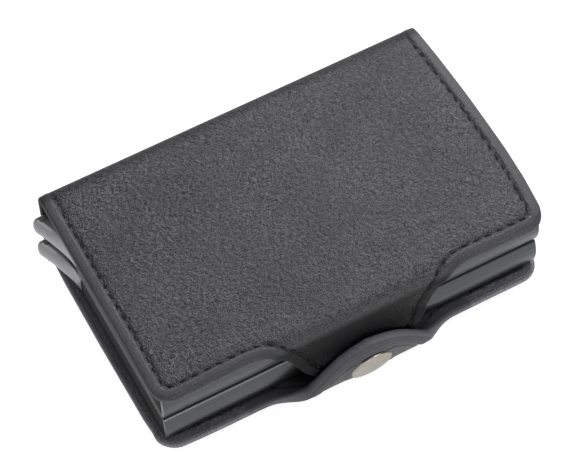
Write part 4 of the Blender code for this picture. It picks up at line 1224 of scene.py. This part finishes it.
def grey_lacquered_abs():
    """ABS under a metallic lacquer: flake 0.12 mm wide under a smooth satin clear coat."""
    material, tree, where = new_material("grey_lacquered_abs")
    flake_mm, peel_mm = 0.12, 1.6
    flake = noise(tree, where, flake_mm, Detail=2.0)
    peel = noise(tree, where, peel_mm, Detail=1.0)
    add_surface(
        tree, Base_Color=colour_ramp(tree, flake, (0.3, "#6E6E70"), (0.7, "#828284")),
        Roughness=remap(tree, flake, 0.3, 0.7, 0.3, 0.4),
        Normal=raised(tree, peel, 0.15, 0.02 * MM), Metallic=0.85, Coat_Weight=0.3,
        Coat_Roughness=0.25,
    )
    return material


def ground_steel():
    """Centreless-ground pin: bright steel with fine rings round it, 0.15 mm apart."""
    material, tree, where = new_material("ground_steel")
    stretched = add_node(tree, "Mapping", Vector=where, Scale=(0.05, 0.05, 1.0)).outputs[0]
    rings = noise(tree, stretched, 0.15, Detail=2.0)
    add_surface(
        tree, Base_Color=colour_ramp(tree, rings, (0, "#A3A3A2"), (1, "#BDBDBB")),
        Roughness=0.3, Normal=raised(tree, rings, 0.3, 0.01 * MM), Metallic=1.0,
    )
    return material


lacquer = grey_lacquered_abs()
for level in ("upper", "lower"):
    moulding = lever_moulding(f"{level}_lever_moulding", f"{level}_lever")
    moulding.data.materials.append(lacquer)
    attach(moulding, f"{level}_lever")
    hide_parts(f"{level}_lever")
finish_nodes(ground_steel(), "upper_pivot_pin", "lower_pivot_pin", "snap_post")

# Friction strips
# Two strips of self-adhesive wool felt near each case's mouth press on the cards, so that
# they stay in however the holder is held.
FELT_STEP = 0.5 * MM
FELT_CORNER = 0.8 * MM
FELT_TURN = (0.9 * MM, 0.35 * MM)
FELT_TUFT = 0.05 * MM


def pressed_wool_felt():
    """Pressed wool: matt dark grey, with tangled fibres about 0.2 mm apart."""
    material, tree, where = new_material("pressed_wool_felt")
    tangle = noise(tree, where, 0.2, Detail=5.0, Distortion=2.5)
    add_surface(
        tree, Base_Color=colour_ramp(tree, tangle, (0.35, "#262628"), (0.7, "#4A4A4D")),
        Roughness=0.95, IOR=1.45, Normal=raised(tree, tangle, 0.8, 0.15 * MM),
        Sheen_Weight=0.4, Sheen_Roughness=0.5,
    )
    return material


felt = pressed_wool_felt()
for level in ("upper", "lower"):
    for place in ("front", "rear"):
        node = f"{level}_friction_strip_{place}"
        low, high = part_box(node)
        x, y, faces, rim = rounded_grid(low.xy, high.xy, FELT_CORNER, FELT_STEP)
        edge_falloff = rounded_off(x, y, low, high, *FELT_TURN)
        tuft = FELT_TUFT * np.sin(x / (0.41 * MM)) * np.sin(y / (0.37 * MM))
        near = np.column_stack([x, y, low.z + FELT_TUFT + edge_falloff + tuft])
        far = np.column_stack([x, y, np.full(len(x), high.z)])
        strip = closed_ply(f"{node}_felt", near, far, faces, rim)
        strip.data.materials.append(felt)
        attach(strip, f"{level}_cover")
        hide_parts(node)

# Snap fastener
# A nickel-plated brass press snap: a domed cap and socket set through the tab, and a stud on
# a steel post through the tongue.


def nickel_plated_brass():
    """Barrel-plated nickel: warm, bright and soft-edged, with tumbling marks 0.6 mm long."""
    material, tree, where = new_material("nickel_plated_brass")
    mark_mm, cloud_mm = 0.6, 5.0
    marks = noise(tree, where, mark_mm, Detail=4.0, Distortion=1.0)
    clouds = noise(tree, where, cloud_mm, Detail=2.0)
    add_surface(
        tree, Base_Color=colour_ramp(tree, clouds, (0.3, "#8F8A81"), (0.7, "#A5A096")),
        Roughness=remap(tree, marks, 0.3, 0.7, 0.36, 0.48),
        Normal=raised(tree, marks, 0.3, 0.015 * MM), Metallic=1.0,
    )
    return material


finish_nodes(nickel_plated_brass(), "snap_cap", "snap_socket", "snap_stud")

low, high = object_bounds()
